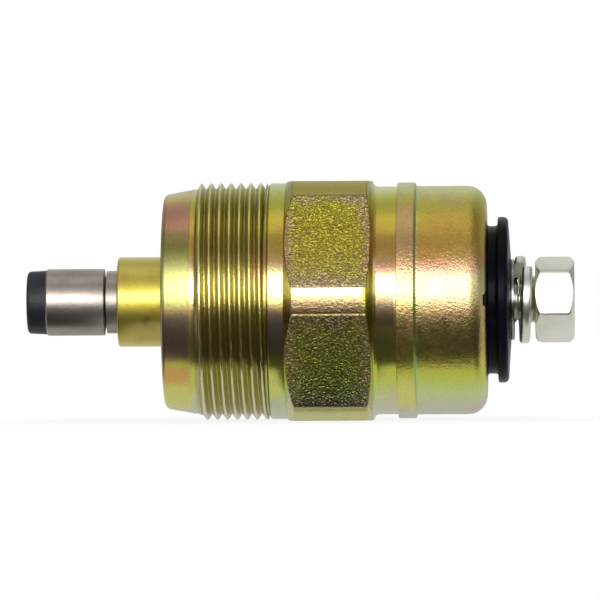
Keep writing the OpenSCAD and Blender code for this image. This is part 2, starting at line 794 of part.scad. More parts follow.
// split lock washer, one turn of a flat helix
module lock_washer() {
    sections = [for (i = [0 : ring_steps])
        let (t = i / ring_steps,
            a = split_turn + split_open / 2 + t * (360 - split_open),
            x = seat_x + t * washer_rise)
            ring_section(a, washer_bore_d / 2, washer_d / 2, x, x + washer_t)];
    points = [for (s = sections) each s];
    last = 4 * ring_steps;
    color([0.78, 0.77, 0.74]) polyhedron(points = points,
        faces = concat(ring_faces(ring_steps + 1, false),
            [[3, 2, 1, 0], [last, last + 1, last + 2, last + 3]]));
}

// hexagon head screw
module terminal_screw() {
    color([0.85, 0.83, 0.8]) union() {
        turned() polygon([[0, screw_x0], [screw_r - screw_chamfer, screw_x0],
            [screw_r, screw_x0 + screw_chamfer], [screw_r, head_x + eps], [0, head_x + eps]]);
        intersection() {
            hex_bar(head_x, screw_x1, head_af, half_corner - head_turn);
            turned() polygon([[0, head_x], [head_af / 2, head_x],
                [head_corner_d / 2, head_x + head_cone], [head_corner_d / 2, screw_x1 - head_cone],
                [head_af / 2, screw_x1], [0, screw_x1]]);
        }
    }
}

housing();
rear_can();
guide_tube();
plunger();
plunger_tip();
return_spring();
pole_core();
stop_shim();
core_seal();
nose_seal();
coil_bobbin();
coil_winding();
winding_tape();
wave_washer();
flux_plate();
coil_lead();
ground_lead();
terminal_insulator();
insulator_gasket();
terminal_insert();
lock_washer();
terminal_screw();
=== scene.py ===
"""Looks of a screw-in fuel shutoff solenoid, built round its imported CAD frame.

Lengths in the classes are millimetres along the part's axis: x runs from the plunger's tip to the
terminal, r is the distance from the axis. Meshes and node trees are in metres.
"""

import logging
import math
from dataclasses import dataclass
from enum import Enum
from functools import reduce
from typing import Sequence

import bmesh
import bpy
from mathutils import Matrix, Vector


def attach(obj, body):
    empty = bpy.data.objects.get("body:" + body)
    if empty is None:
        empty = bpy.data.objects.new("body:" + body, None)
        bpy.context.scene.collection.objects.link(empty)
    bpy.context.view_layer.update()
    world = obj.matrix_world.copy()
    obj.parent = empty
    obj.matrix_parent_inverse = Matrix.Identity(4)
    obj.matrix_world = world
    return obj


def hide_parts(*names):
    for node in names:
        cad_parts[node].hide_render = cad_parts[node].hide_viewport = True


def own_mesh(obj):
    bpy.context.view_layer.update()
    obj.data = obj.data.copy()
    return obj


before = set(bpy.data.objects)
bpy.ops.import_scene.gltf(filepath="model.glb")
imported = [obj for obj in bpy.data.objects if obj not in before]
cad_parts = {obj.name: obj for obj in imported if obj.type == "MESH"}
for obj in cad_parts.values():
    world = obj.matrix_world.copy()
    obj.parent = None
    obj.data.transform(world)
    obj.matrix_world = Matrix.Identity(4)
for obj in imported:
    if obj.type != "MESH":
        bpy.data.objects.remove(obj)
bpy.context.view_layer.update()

log = logging.getLogger("solenoid")

MM = 0.001
TINY = 1e-6
FULL_TURN = 2 * math.pi
ROUND_SHARE = 0.49  # most of a side that one rounding may take
EASE_SHARE = 0.45  # most of a side that one easing may take
RIM_STEP = 0.02  # how far inside its cone an end face of the hexagon begins, mm
RINGS_PER_MM = 8.0
NO_STAIN = (1000.0, 0.0, 0.0)
NO_LINE = (1000.0, 1001.0)
ROOT = "housing_group"
MOVING = "plunger_group"
Pair = tuple[float, float]
Corner = tuple[float, float, float]
Colour = tuple[float, float, float]
Socket = bpy.types.NodeSocket


def rounded(outline: Sequence[Corner], steps: int = 5) -> list[Pair]:
    """Rounds the corners of a closed outline.

    Args:
        outline: Corners as (x, r, rounding radius), all in mm, in order round the section.
        steps: Segments of each rounding.

    Returns:
        The outline's points as (x, r).
    """
    points: list[Pair] = []
    count = len(outline)
    for i, (x, r, rad) in enumerate(outline):
        here = Vector((x, r))
        before = Vector(outline[i - 1][:2]) - here
        after = Vector(outline[(i + 1) % count][:2]) - here
        if rad <= 0 or before.length < TINY or after.length < TINY:
            points.append((x, r))
            continue
        a, b = before.normalized(), after.normalized()
        half = math.acos(max(-1.0, min(1.0, a.dot(b)))) / 2
        if half > math.radians(89):
            points.append((x, r))
            continue
        reach = min(rad / math.tan(half), before.length * ROUND_SHARE, after.length * ROUND_SHARE)
        rad = reach * math.tan(half)
        centre = here + (a + b).normalized() * (rad / math.sin(half))
        start, end = here + a * reach - centre, here + b * reach - centre
        sweep = math.atan2(start.x * end.y - start.y * end.x, start.dot(end))
        for k in range(steps + 1):
            turn = Matrix.Rotation(sweep * k / steps, 2)
            p = centre + turn @ start
            points.append((p.x, p.y))
    return points


def linked(name: str, data: bpy.types.ID) -> bpy.types.Object:
    """Makes an object from its data and links it into the scene."""
    obj = bpy.data.objects.new(name, data)
    bpy.context.scene.collection.objects.link(obj)
    return obj


def mesh_object(name: str, bm: bmesh.types.BMesh, sharp_deg: float = 32.0) -> bpy.types.Object:
    """Makes an object from a bmesh, with outward normals and smooth shading.

    Args:
        name: Name of the object.
        bm: The mesh, in metres. It is freed.
        sharp_deg: Edges that turn more than this stay sharp.

    Returns:
        The linked object.
    """
    bmesh.ops.recalc_face_normals(bm, faces=bm.faces)
    mesh = bpy.data.meshes.new(name)
    bm.to_mesh(mesh)
    bm.free()
    mesh.shade_smooth()
    mesh.set_sharp_from_angle(angle=math.radians(sharp_deg))
    return linked(name, mesh)


def turned_bmesh(points: Sequence[Pair], segments: int) -> bmesh.types.BMesh:
    """Turns a closed outline about the X axis.

    Args:
        points: Outline as (x, r) in mm. Points on the axis become poles.
        segments: Segments of one turn.

    Returns:
        A closed mesh in metres.
    """
    bm = bmesh.new()
    rings: list[list[bmesh.types.BMVert]] = []
    for x, r in points:
        if r < 1e-5:
            rings.append([bm.verts.new((x * MM, 0.0, 0.0))])
            continue
        ring = []
        for k in range(segments):
            a = FULL_TURN * k / segments
            ring.append(bm.verts.new((x * MM, r * MM * math.cos(a), r * MM * math.sin(a))))
        rings.append(ring)
    for i, ring in enumerate(rings):
        after = rings[(i + 1) % len(rings)]
        if len(ring) == 1 and len(after) == 1:
            continue
        for k in range(segments):
            j = (k + 1) % segments
            if len(ring) == 1:
                bm.faces.new((ring[0], after[j], after[k]))
            elif len(after) == 1:
                bm.faces.new((ring[k], ring[j], after[0]))
            else:
                bm.faces.new((ring[k], ring[j], after[j], after[k]))
    return bm


def turned(name: str, outline: Sequence[Corner], segments: int = 192) -> bpy.types.Object:
    """Turns an outline of (x, r, rounding radius) in mm about the X axis into an object."""
    return mesh_object(name, turned_bmesh(rounded(outline), segments))


def lofted(name: str, columns: Sequence[Sequence[Vector]], closed: bool) -> bpy.types.Object:
    """Joins closed sections of equal length into one skin.

    Args:
        name: Name of the object.
        columns: Sections as points in mm, each one a closed loop.
        closed: Whether the last section joins the first; if not, both ends are capped.

    Returns:
        The linked object.
    """
    bm = bmesh.new()
    rows = [[bm.verts.new(p * MM) for p in column] for column in columns]
    size = len(rows[0])
    for i in range(len(rows) if closed else len(rows) - 1):
        here, after = rows[i], rows[(i + 1) % len(rows)]
        for k in range(size):
            j = (k + 1) % size
            bm.faces.new((here[k], here[j], after[j], after[k]))
    if not closed:
        bm.faces.new(rows[0])
        bm.faces.new(list(reversed(rows[-1])))
    return mesh_object(name, bm)


def joined(name: str, parts: Sequence[bpy.types.Object]) -> bpy.types.Object:
    """Joins closed meshes into one object.

    Args:
        name: Name of the result.
        parts: The objects, which are used up.

    Returns:
        The joined object.
    """
    bm = bmesh.new()
    for part in parts:
        bm.from_mesh(part.data)
        bpy.data.objects.remove(part)
    return mesh_object(name, bm)


def eased(before: Pair, corner: Pair, after: Pair, reach: float, steps: int = 4) -> list[Pair]:
    """Eases one corner of a section, always with the same number of points.

    Args:
        before: Point before the corner, as (x, r).
        corner: The corner.
        after: Point after the corner.
        reach: How far the easing runs along each side, mm.
        steps: Segments of the easing.

    Returns:
        The points of the easing.
    """
    here = Vector(corner)
    back, ahead = Vector(before) - here, Vector(after) - here
    start = here + back.normalized() * min(reach, back.length * EASE_SHARE)
    end = here + ahead.normalized() * min(reach, ahead.length * EASE_SHARE)
    points = []
    for k in range(steps + 1):
        t = k / steps
        p = start * (1 - t) ** 2 + here * (2 * t * (1 - t)) + end * t ** 2
        points.append((p.x, p.y))
    return points


def hex_columns(
    af: float,
    corner_r: float,
    x0: float,
    x1: float,
    r_in: float,
    front: Pair,
    rear: Pair,
    turn_deg: float,
    edge: float,
) -> list[list[Vector]]:
    """Sections of a hexagon with turned corners, one half plane through the axis each.

    Args:
        af: Distance across the flats, mm.
        corner_r: Radius over the turned corners, mm.
        x0: Front end, mm.
        x1: Rear end, mm.
        r_in: Inner radius of the ring, mm.
        front: Radius at which the front cone starts, and its axial length at the corners.
        rear: The same at the rear end.
        turn_deg: Direction of one corner about the axis, from +Y towards +Z.
        edge: Softening of the edges, mm.

    Returns:
        Closed sections for lofted().
    """
    apothem = af / 2
    limit = math.degrees(math.acos(apothem / corner_r))
    stops = [0.0, limit * 0.3, limit * 0.6, limit * 0.85, limit - 1.2, limit - 0.5, limit]
    stops += [limit + 0.5, limit + 1.2, (limit + 30.0) / 2 + 0.4]
    angles = sorted({s * 60.0 + 30.0 + k for s in range(6) for a in stops for k in (a, -a)}
                    | {s * 60.0 for s in range(6)})
    columns = []
    for deg in angles:
        phi = math.radians((deg + 30.0) % 60.0 - 30.0)
        off = math.radians(30.0) - abs(phi)
        flat = apothem / math.cos(off)
        gap = flat - corner_r
        soft = edge * 0.6
        big = 0.5 * (flat + corner_r - math.sqrt(gap * gap + soft * soft))
        xf = x0 + front[1] * max(0.0, (big - front[0]) / (corner_r - front[0]))
        xr = x1 - rear[1] * max(0.0, (big - rear[0]) / (corner_r - rear[0]))
        front_start = (x0, front[0] - RIM_STEP)
        rear_end = (x1, min(rear[0], big) - RIM_STEP)
        section = [(x0, r_in), front_start]
        section += eased(front_start, (xf, big), (xr, big), edge)
        section += eased((xf, big), (xr, big), rear_end, edge)
        section += [rear_end, (x1, r_in)]
        a = math.radians(deg + turn_deg)
        columns.append([Vector((x, r * math.cos(a), r * math.sin(a))) for x, r in section])
    return columns


class Sketch:
    """Short-hand for building a node tree."""

    def __init__(self, tree: bpy.types.NodeTree) -> None:
        """Keeps the tree to build in."""
        self.tree = tree

    @classmethod
    def afresh(cls, owner: bpy.types.ID) -> "Sketch":
        """Empties the node tree of a material or world and starts a sketch of it."""
        owner.use_nodes = True
        owner.node_tree.nodes.clear()
        return cls(owner.node_tree)

    def feed(self, socket: Socket, value: object) -> None:
        """Links a socket to an output, or sets its value.

        Args:
            socket: The input to feed.
            value: An output, a number, a vector or a colour without its alpha.
        """
        if isinstance(value, Socket):
            self.tree.links.new(value, socket)
        elif isinstance(value, tuple) and len(value) == 3 and len(socket.default_value) == 4:
            socket.default_value = (*value, 1.0)
        else:
            socket.default_value = value

    def node(self, kind: str, *values: object, **settings: object) -> bpy.types.Node:
        """Adds a node.

        Args:
            kind: Blender's node type.
            values: Outputs or values for its first inputs, in order.
            settings: Properties of the node.

        Returns:
            The node.
        """
        made = self.tree.nodes.new(kind)
        for key, value in settings.items():
            setattr(made, key, value)
        for socket, value in zip(made.inputs, values):
            self.feed(socket, value)
        return made

    def named(self, kind: str, values: dict[str, object]) -> Socket:
        """Adds a node whose inputs are fed by name.

        Args:
            kind: Blender's node type.
            values: Outputs or values by the name of the input.

        Returns:
            Its first output.
        """
        made = self.tree.nodes.new(kind)
        for name, value in values.items():
            self.feed(made.inputs[name], value)
        return made.outputs[0]

    def first(self, kind: str, *values: object, **settings: object) -> Socket:
        """Adds a node as node() does and gives its first output."""
        return self.node(kind, *values, **settings).outputs[0]

    def math(self, kind: str, *values: object) -> Socket:
        """Adds a math node of one kind."""
        return self.first("ShaderNodeMath", *values, operation=kind)

    def times(self, *values: object) -> Socket:
        """Multiplies outputs or numbers."""
        return reduce(lambda a, b: self.math("MULTIPLY", a, b), values)

    def plus(self, *values: object) -> Socket:
        """Adds outputs or numbers."""
        return reduce(lambda a, b: self.math("ADD", a, b), values)

    def minus(self, whole: object, part: object) -> Socket:
        """Takes one output or number from another."""
        return self.math("SUBTRACT", whole, part)

    def off_axis(self, y: Socket, z: Socket) -> Socket:
        """Gives the distance from the X axis."""
        return self.math("SQRT", self.plus(self.times(y, y), self.times(z, z)))

    def vector(self, kind: str, *values: object) -> bpy.types.Node:
        """Adds a vector math node of one kind."""
        return self.node("ShaderNodeVectorMath", *values, operation=kind)

    def smooth(self, value: object, low: object, high: object, a: float = 0.0,
               b: float = 1.0) -> Socket:
        """Maps a value smoothly, so that low gives a and high gives b."""
        return self.first("ShaderNodeMapRange", value, low, high, a, b,
                         interpolation_type="SMOOTHSTEP")

    def band(self, value: object, one_side: Pair, other_side: Pair) -> Socket:
        """Makes a weight that rises from 0 to 1 through one_side, and so through other_side."""
        return self.times(self.smooth(value, *one_side), self.smooth(value, *other_side))

    def mix(self, factor: object, a: object, b: object, blend: str = "MIX") -> Socket:
        """Mixes two colours.

        Args:
            factor: Output or number, 0 for a and 1 for b.
            a: First colour.
            b: Second colour.
            blend: Blend type.

        Returns:
            The mixed colour.
        """
        made = self.node("ShaderNodeMix", factor, data_type="RGBA", blend_type=blend)
        self.feed(made.inputs[6], a)
        self.feed(made.inputs[7], b)
        return made.outputs[2]

    def noise(self, where: Socket, scale: float, detail: float = 2.0,
              rough: float = 0.5) -> Socket:
        """Adds a noise with scale features per metre, detail octaves and their weight rough."""
        return self.named("ShaderNodeTexNoise", {
            "Vector": where, "Scale": scale, "Detail": detail, "Roughness": rough})

    def ramp(self, value: object, stops: Sequence[tuple[float, Colour]]) -> Socket:
        """Adds a colour ramp.

        Args:
            value: Output that picks the place.
            stops: Places and colours.

        Returns:
            The colour output.
        """
        made = self.node("ShaderNodeValToRGB", value)
        bar = made.color_ramp
        while len(bar.elements) > 1:
            bar.elements.remove(bar.elements[-1])
        bar.elements[0].position = stops[0][0]
        bar.elements[0].color = (*stops[0][1], 1.0)
        for place, colour in stops[1:]:
            bar.elements.new(place).color = (*colour, 1.0)
        return made.outputs[0]

    def grey_ramp(self, value: object, stops: Sequence[Pair]) -> Socket:
        """Adds a ramp of greys, given as places and brightnesses."""
        return self.ramp(value, [(place, (level,) * 3) for place, level in stops])

    def grey(self, value: object) -> Socket:
        """Turns one number into a grey."""
        return self.first("ShaderNodeCombineColor", value, value, value)

    def bump(self, height: Socket, depth: float, after: Socket | None = None) -> Socket:
        """Adds a bump.

        Args:
            height: Output that gives the height.
            depth: Height of a full step, in metres.
            after: Normal that the bump is laid over.

        Returns:
            The new normal.
        """
        values = {"Strength": 1.0, "Distance": depth, "Height": height}
        if after is not None:
            values["Normal"] = after
        return self.named("ShaderNodeBump", values)


class Paint(Sketch):
    """A material being built, with its shader and the part's own coordinates."""

    def __init__(self, name: str) -> None:
        """Starts a material with a principled shader.

        Args:
            name: Name of the material.
        """
        self.material = bpy.data.materials.new(name)
        self.material.use_nodes = True
        super().__init__(self.material.node_tree)
        self.tree.nodes.clear()
        self.shader = self.node("ShaderNodeBsdfPrincipled")
        self.node("ShaderNodeOutputMaterial", self.shader.outputs[0])
        self.place = self.node("ShaderNodeTexCoord").outputs["Object"]
        self.x, self.y, self.z = self.node("ShaderNodeSeparateXYZ", self.place).outputs[:3]
        self.radius = self.off_axis(self.y, self.z)

    def set(self, name: str, value: object) -> None:
        """Sets or links one socket of the shader."""
        self.feed(self.shader.inputs[name], value)

    def relief(self, *layers: tuple[Socket, float]) -> None:
        """Sets the shader's normal from bumps, given as heights and depths in metres."""
        normal = None
        for height, depth in layers:
            normal = self.bump(height, depth, normal)
        self.set("Normal", normal)

    def wander(self, per_m: float, span: float) -> Socket:
        """Makes an irregular shift of up to half the span either way, in metres."""
        return self.times(self.minus(self.noise(self.place, per_m, 3.0), 0.5), span)

    def lathe_lines(self) -> Socket:
        """Makes the fine rings left by a turning tool, as a height between 0 and 1."""
        section = self.first("ShaderNodeCombineXYZ", self.x, self.radius)
        return self.noise(section, RINGS_PER_MM / MM, 3.0, 0.6)


class Area(Enum):
    """Stretch of the plating that a painted zone keeps to."""

    NOSE = "nose"
    RING = "ring"
    NOSE_AND_RING = "nose and ring"
    NOSE_AND_LAND = "nose and land"
    LAND = "land"
    NECK = "neck"
    CAN = "can"


@dataclass(frozen=True)
class Zone:
    """One painted zone of the plating, bounded by the height z in metres: a tint, or painted shade.
    """

    area: Area
    one_side: Pair
    other_side: Pair
    weight: float
    tint: Colour
    wavy: bool = False


# Zones in the order they are mixed. The wavy dark row on the nose and land, the neck row and the
# can row darken the front just below the highlight: painted shade.
ZONES = (
    Zone(Area.NOSE, (0.0055, 0.0075), (0.0108, 0.0092), 0.85, (0.86, 0.42, 0.32)),
    Zone(Area.NOSE, (-0.0015, 0.0005), (0.0062, 0.0045), 0.7, (0.62, 0.68, 0.2)),
    Zone(Area.NOSE, (-0.0062, -0.0068), (-0.0096, -0.0082), 0.9, (0.78, 0.46, 0.15)),
    Zone(Area.RING, (0.0, 0.003), (0.0105, 0.009), 0.7, (0.76, 0.48, 0.26)),
    Zone(Area.NOSE, (0.0042, 0.0056), (0.0074, 0.0066), 0.7, (0.46, 0.42, 0.15)),
    Zone(Area.NOSE_AND_RING, (-0.0076, -0.0088), (-0.0112, -0.0102), 0.8, (0.84, 0.78, 0.2)),
    Zone(Area.NOSE_AND_LAND, (-0.0008, -0.0018), (-0.0062, -0.0052), 0.8, (0.44, 0.32, 0.26), True),
    Zone(Area.LAND, (-0.006, -0.0068), (-0.0105, -0.009), 0.8, (0.76, 0.78, 0.2)),
    Zone(Area.NECK, (0.0012, 0.0002), (-0.0032, -0.002), 0.75, (0.32, 0.22, 0.13)),
    Zone(Area.CAN, (-0.0008, -0.0022), (-0.0062, -0.0045), 0.5, (0.42, 0.38, 0.12)),
)

# Paler towards top and bottom in place of the whiter reflection at grazing angles: painted sheen.
# Paler where the front highlight falls, about z = 0.5 to 2.5 mm, so that it renders white: painted
# highlight.
# Pink at about z = +3.8 mm and -1 mm, at the edges of the highlight: painted reflection colour.
# Tint by height, z = -12.5 mm at 0 to +12.5 mm at 1.
BANDS = (
    (0.02, (0.72, 0.70, 0.58)), (0.076, (0.71, 0.69, 0.52)), (0.124, (0.71, 0.80, 0.40)),
    (0.172, (0.70, 0.76, 0.18)), (0.22, (0.74, 0.74, 0.12)), (0.30, (0.78, 0.66, 0.16)),
    (0.38, (0.80, 0.62, 0.22)), (0.46, (0.80, 0.58, 0.24)), (0.52, (0.80, 0.70, 0.35)),
    (0.60, (0.80, 0.70, 0.38)), (0.652, (0.78, 0.52, 0.26)), (0.70, (0.76, 0.54, 0.13)),
    (0.796, (0.78, 0.60, 0.10)), (0.844, (0.77, 0.64, 0.10)), (0.892, (0.79, 0.77, 0.14)),
    (0.94, (0.78, 0.77, 0.33)), (0.98, (0.72, 0.71, 0.50)),
)

CLOUDS = (
    (0.30, (0.72, 0.86, 0.95)), (0.42, (0.92, 1.0, 0.85)), (0.50, (1.0, 1.0, 0.9)),
    (0.58, (1.0, 0.86, 1.0)), (0.66, (1.0, 0.76, 1.0)), (0.76, (0.82, 0.9, 1.0)),
)


def thread_tint(p: Paint) -> Socket:
    """Tint of the thread: painted highlight on the crests and painted shade in the grooves.

    Args:
        p: The material being built.

    Returns:
        The colour output.
    """
    # Pale crests, paler still low down: painted highlight.
    crest = p.mix(p.smooth(p.z, -0.004, -0.007), (0.88, 0.82, 0.3), (0.84, 0.82, 0.56))
    # Dark roots below yellow flanks, by radius: painted shade in the roots.
    flank = p.mix(p.smooth(p.radius, 0.01145, 0.01165), (0.38, 0.34, 0.14), (0.76, 0.69, 0.14))
    # Above the middle the grooves take the flank colours, a painted reflection; elsewhere they stay
    # dark olive, painted shade.
    upper = p.band(p.z, (0.0055, 0.007), (0.0104, 0.009))
    groove = p.mix(p.times(upper, 0.8), (0.52, 0.47, 0.2), flank)
    rosy = p.times(p.smooth(p.x, -0.0045, -0.0025), p.smooth(p.z, 0.0, 0.003),
                   p.smooth(p.z, 0.007, 0.005, 0.0, 0.5))
    groove = p.mix(rosy, groove, (0.7, 0.44, 0.26))
    return p.mix(p.smooth(p.radius, 0.01172, 0.01188), groove, crest)


def plating_tint(p: Paint, seed: float) -> Socket:
    """Shifting tint of yellow-passivated zinc: bands by height, clouds, zones and specks, with
    painted highlight, sheen and shade.

    Args:
        p: The material being built.
        seed: Shift of the clouds, in metres.

    Returns:
        The colour output.
    """
    spread = p.vector("MULTIPLY", p.place, (0.8, 0.8, 0.8)).outputs[0]
    cloud = p.noise(p.vector("ADD", spread, (seed, seed, 0.0)).outputs[0], 130.0, 3.0, 0.55)
    fine = p.noise(p.place, 900.0, 4.0, 0.6)
    wavy_z = p.plus(p.z, p.times(p.minus(cloud, 0.5), 0.0035))
    bands = p.ramp(p.math("DIVIDE", p.plus(wavy_z, 0.0125), 0.025), BANDS)
    factor = p.ramp(p.plus(p.times(cloud, 0.8), p.times(fine, 0.2)), CLOUDS)
    tint = p.mix(1.0, bands, factor, "MULTIPLY")

    front = p.smooth(p.y, 0.003, -0.001)
    before_thread = p.smooth(p.x, -0.0092, -0.0097)
    end_face = p.times(before_thread, p.smooth(p.radius, 0.0104, 0.0098))
    tint = p.mix(p.times(end_face, 0.7), tint, p.mix(1.0, (0.78, 0.74, 0.3), factor, "MULTIPLY"))
    on_thread = p.band(p.x, (-0.0091, -0.0087), (-0.0016, -0.0019))
    tint = p.mix(p.times(on_thread, 0.85), tint, thread_tint(p))
    on_step = p.band(p.x, (0.01292, 0.01296), (0.01335, 0.0132))
    tint = p.mix(p.times(on_step, 0.7), tint, (0.55, 0.74, 0.4))

    on_nose = p.times(before_thread, p.smooth(p.radius, 0.0098, 0.0104), front)
    on_land = p.band(p.x, (-0.0019, -0.0016), (0.0001, 0.0))
    on_neck = p.band(p.x, (0.0086, 0.0089), (0.0111, 0.0109))
    on_ring = p.band(p.x, (0.0111, 0.0113), (0.0131, 0.0129))
    areas = {
        Area.NOSE: on_nose, Area.RING: on_ring, Area.LAND: on_land,
        Area.NOSE_AND_RING: p.math("MAXIMUM", on_nose, on_ring),
        Area.NOSE_AND_LAND: p.math("MAXIMUM", on_nose, p.times(on_land, front)),
        Area.NECK: p.times(on_neck, front),
        Area.CAN: p.times(p.smooth(p.x, 0.0132, 0.0136), front),
    }
    for zone in ZONES:
        inside = p.band(wavy_z if zone.wavy else p.z, zone.one_side, zone.other_side)
        tint = p.mix(p.times(areas[zone.area], inside, zone.weight), tint, zone.tint)
    specks = p.smooth(p.noise(p.place, 6000.0), 0.3, 0.6, 0.88, 1.0)
    return p.mix(1.0, tint, p.grey(specks), "MULTIPLY")


@dataclass(frozen=True)
class Finish:
    """A finish of the part, painted by each kind in its own way."""

    name: str

    def paint(self, p: Paint) -> None:
        """Sets the shader of the material being built."""
        raise NotImplementedError

    def build(self) -> bpy.types.Material:
        """Builds the material.

        Returns:
            The finished material.
        """
        p = Paint(self.name)
        self.paint(p)
        return p.material


@dataclass(frozen=True)
class ZincChromate(Finish):
    """Yellow-passivated zinc plating on drawn sheet, with a fine peel."""

    roughness: float = 0.3

    def paint(self, p: Paint) -> None:
        """Paints the can."""
        fine = p.noise(p.place, 900.0, 4.0, 0.6)
        p.set("Base Color", plating_tint(p, 0.013))
        p.set("Metallic", 1.0)
        p.set("Roughness", p.smooth(fine, 0.3, 0.7, self.roughness - 0.04, self.roughness + 0.06))
        p.relief((p.noise(p.place, 4200.0, 2.0, 0.6), 0.00004), (p.noise(p.place, 1500.0), 0.00001))


@dataclass(frozen=True)
class ForgedHexZinc(Finish):
    """The same plating on the housing, rough on the hexagon's flats and turned elsewhere."""

    flat_at: float
    hex_x0: float
    hex_x1: float

    def across(self, p: Paint) -> Socket:
        """Distance from the axis along the nearest flat's normal.

        Args:
            p: The material being built.

        Returns:
            The distance, in metres.
        """
        reach: object = 0.0
        for deg in (30.0, 90.0, 150.0):
            way = (0.0, math.cos(math.radians(deg)), math.sin(math.radians(deg)))
            side = p.vector("DOT_PRODUCT", p.place, way).outputs[1]
            reach = p.math("MAXIMUM", reach, p.math("ABSOLUTE", side))
        return reach

    def flat_tint(self, p: Paint) -> Socket:
        """Tint of the flats: olive in the middle, brown towards the rim, with bright dots; the
        lower flats darker, which is painted shade.

        Args:
            p: The material being built.

        Returns:
            The colour output.
        """
        aside = p.math("SQRT", p.math("MAXIMUM", 0.0, p.minus(
            p.times(p.radius, p.radius), (self.flat_at * MM) ** 2)))
        ahead = p.math("ABSOLUTE", p.minus(p.x, (self.hex_x0 + self.hex_x1) / 2 * MM))
        wander = p.wander(450.0, 0.003)
        rim = p.math("MAXIMUM", p.smooth(p.plus(aside, wander), 0.0034, 0.0054),
                     p.smooth(p.plus(ahead, wander), 0.0026, 0.0043))
        # The lower flats take a darker copy of the upper flats' tint: painted shade.
        upper = p.mix(rim, (0.45, 0.40, 0.045), (0.48, 0.33, 0.18))
        lower_shaded = p.mix(rim, (0.30, 0.30, 0.065), (0.34, 0.25, 0.14))
        dots = p.smooth(p.noise(p.place, 5000.0), 0.48, 0.68, 0.6, 2.0)
        return p.mix(1.0, p.mix(p.smooth(p.z, -0.001, 0.001), lower_shaded, upper), p.grey(dots),
                     "MULTIPLY")

    def paint(self, p: Paint) -> None:
        """Paints the housing."""
        flat, x0, x1, fade = (v * MM for v in (self.flat_at, self.hex_x0, self.hex_x1, 0.1))
        on_hex = p.times(p.band(p.x, (x0, x0 + fade), (x1, x1 - fade)),
                         p.smooth(p.radius, 0.01192, 0.01198))
        on_flat = p.times(p.smooth(self.across(p), flat - 0.00006, flat - 0.00001), on_hex)
        on_edge = p.minus(on_hex, on_flat)
        crown = p.times(p.smooth(p.z, 0.0096, 0.0104), on_edge)
        shaded = p.times(p.band(p.z, (0.0009, -0.0003), (-0.0024, -0.002)), on_edge)
        # Pale, half-metallic band under the bottom corners, standing in for the bright bounce off
        # the floor: painted reflection.
        painted_bounce = p.times(p.smooth(p.z, -0.0098, -0.0102), on_edge)
        rear_end = p.times(p.band(p.x, (0.0078, 0.0081), (0.0091, 0.0088)),
                           p.minus(1.0, on_flat),
                           p.smooth(p.math("ABSOLUTE", p.z), 0.0050, 0.0030))
        tint = p.mix(p.times(on_flat, 0.8), plating_tint(p, 0.0), self.flat_tint(p))
        for weight, share, colour in (
                (crown, 0.85, (0.6, 0.52, 0.12)), (shaded, 0.8, (0.32, 0.21, 0.13)),
                (rear_end, 0.85, (0.44, 0.45, 0.03)), (painted_bounce, 0.7, (0.74, 0.7, 0.24))):
            tint = p.mix(p.times(weight, share), tint, colour)
        p.set("Base Color", tint)
        p.set("Metallic", p.minus(1.0, p.times(painted_bounce, 0.6)))
        on_nose = p.smooth(p.x, -0.0088, -0.0094)
        p.set("Roughness", p.plus(0.24, p.times(on_flat, 0.08), p.times(on_nose, 0.08)))
        rings = p.times(p.lathe_lines(), p.minus(1.0, on_hex))
        hammered = p.times(p.noise(p.place, 5200.0), on_flat)
        grain = p.times(p.noise(p.place, 3200.0, 2.0, 0.6), p.plus(0.35, p.times(on_hex, 0.65)))
        p.relief((rings, 0.000008), (hammered, 0.0002), (grain, 0.00003))


@dataclass(frozen=True)
class TurnedMetal(Finish):
    """Bare or plated metal with fine tool rings, a little smudging and optional painted shade."""

    colour: Colour
    dark: Colour
    roughness: float
    ring_depth: float = 0.000003
    grain_depth: float = 0.000003
    coat: float = 0.0
    stain: Corner = NO_STAIN
    line: Pair = NO_LINE
    painted_shade: float = 1.0

    def paint(self, p: Paint) -> None:
        """Paints the metal."""
        smudge = p.noise(p.place, 260.0, 4.0, 0.6)
        tint = p.mix(p.smooth(smudge, 0.45, 0.75), self.colour, self.dark)
        spot = tuple(part * MM for part in self.stain)
        away = p.plus(p.vector("DISTANCE", p.place, spot).outputs[1], p.wander(1400.0, 0.0016))
        tint = p.mix(p.smooth(away, 0.0014, 0.0005, 0.0, 0.8), tint, (0.1, 0.08, 0.04))
        # Darker band low on the front, just below the highlight: painted shade.
        low = p.times(p.band(p.z, (-0.0008, -0.002), (-0.0048, -0.0036)),
                      p.smooth(p.y, 0.001, -0.001))
        tint = p.mix(low, tint, p.mix(1.0, tint, (self.painted_shade,) * 3, "MULTIPLY"))
        # Near-black ring over the given span, in the recess at the end of the plunger's head:
        # painted shade.
        start, end, fade = (at * MM for at in (*self.line, 0.05))
        painted_groove_shade = p.band(p.x, (start, start + fade), (end, end - fade))
        p.set("Base Color", p.mix(painted_groove_shade, tint, (0.02, 0.018, 0.018)))
        for name, value in (("Coat Weight", self.coat), ("Coat IOR", 2.0),
                            ("Coat Roughness", 0.22), ("Metallic", 1.0)):
            p.set(name, value)
        p.set("Roughness", p.smooth(smudge, 0.3, 0.7, self.roughness - 0.02, self.roughness + 0.04))
        p.relief((p.lathe_lines(), self.ring_depth),
                 (p.noise(p.place, 3000.0), self.grain_depth))


@dataclass(frozen=True)
class Moulded(Finish):
    """Moulded rubber or plastic with a faint skin grain."""

    colour: Colour
    worn: Colour
    roughness: float
    grain_per_mm: float
    grain_depth: float
    specular: float = 0.5

    def paint(self, p: Paint) -> None:
        """Paints the moulding."""
        haze = p.noise(p.place, 400.0, 4.0, 0.6)
        p.set("Base Color", p.mix(p.smooth(haze, 0.5, 0.8), self.colour, self.worn))
        p.set("Roughness", p.smooth(haze, 0.3, 0.7, self.roughness - 0.05, self.roughness + 0.08))
        p.set("Specular IOR Level", self.specular)
        p.relief((p.noise(p.place, self.grain_per_mm / MM, 3.0, 0.6), self.grain_depth))


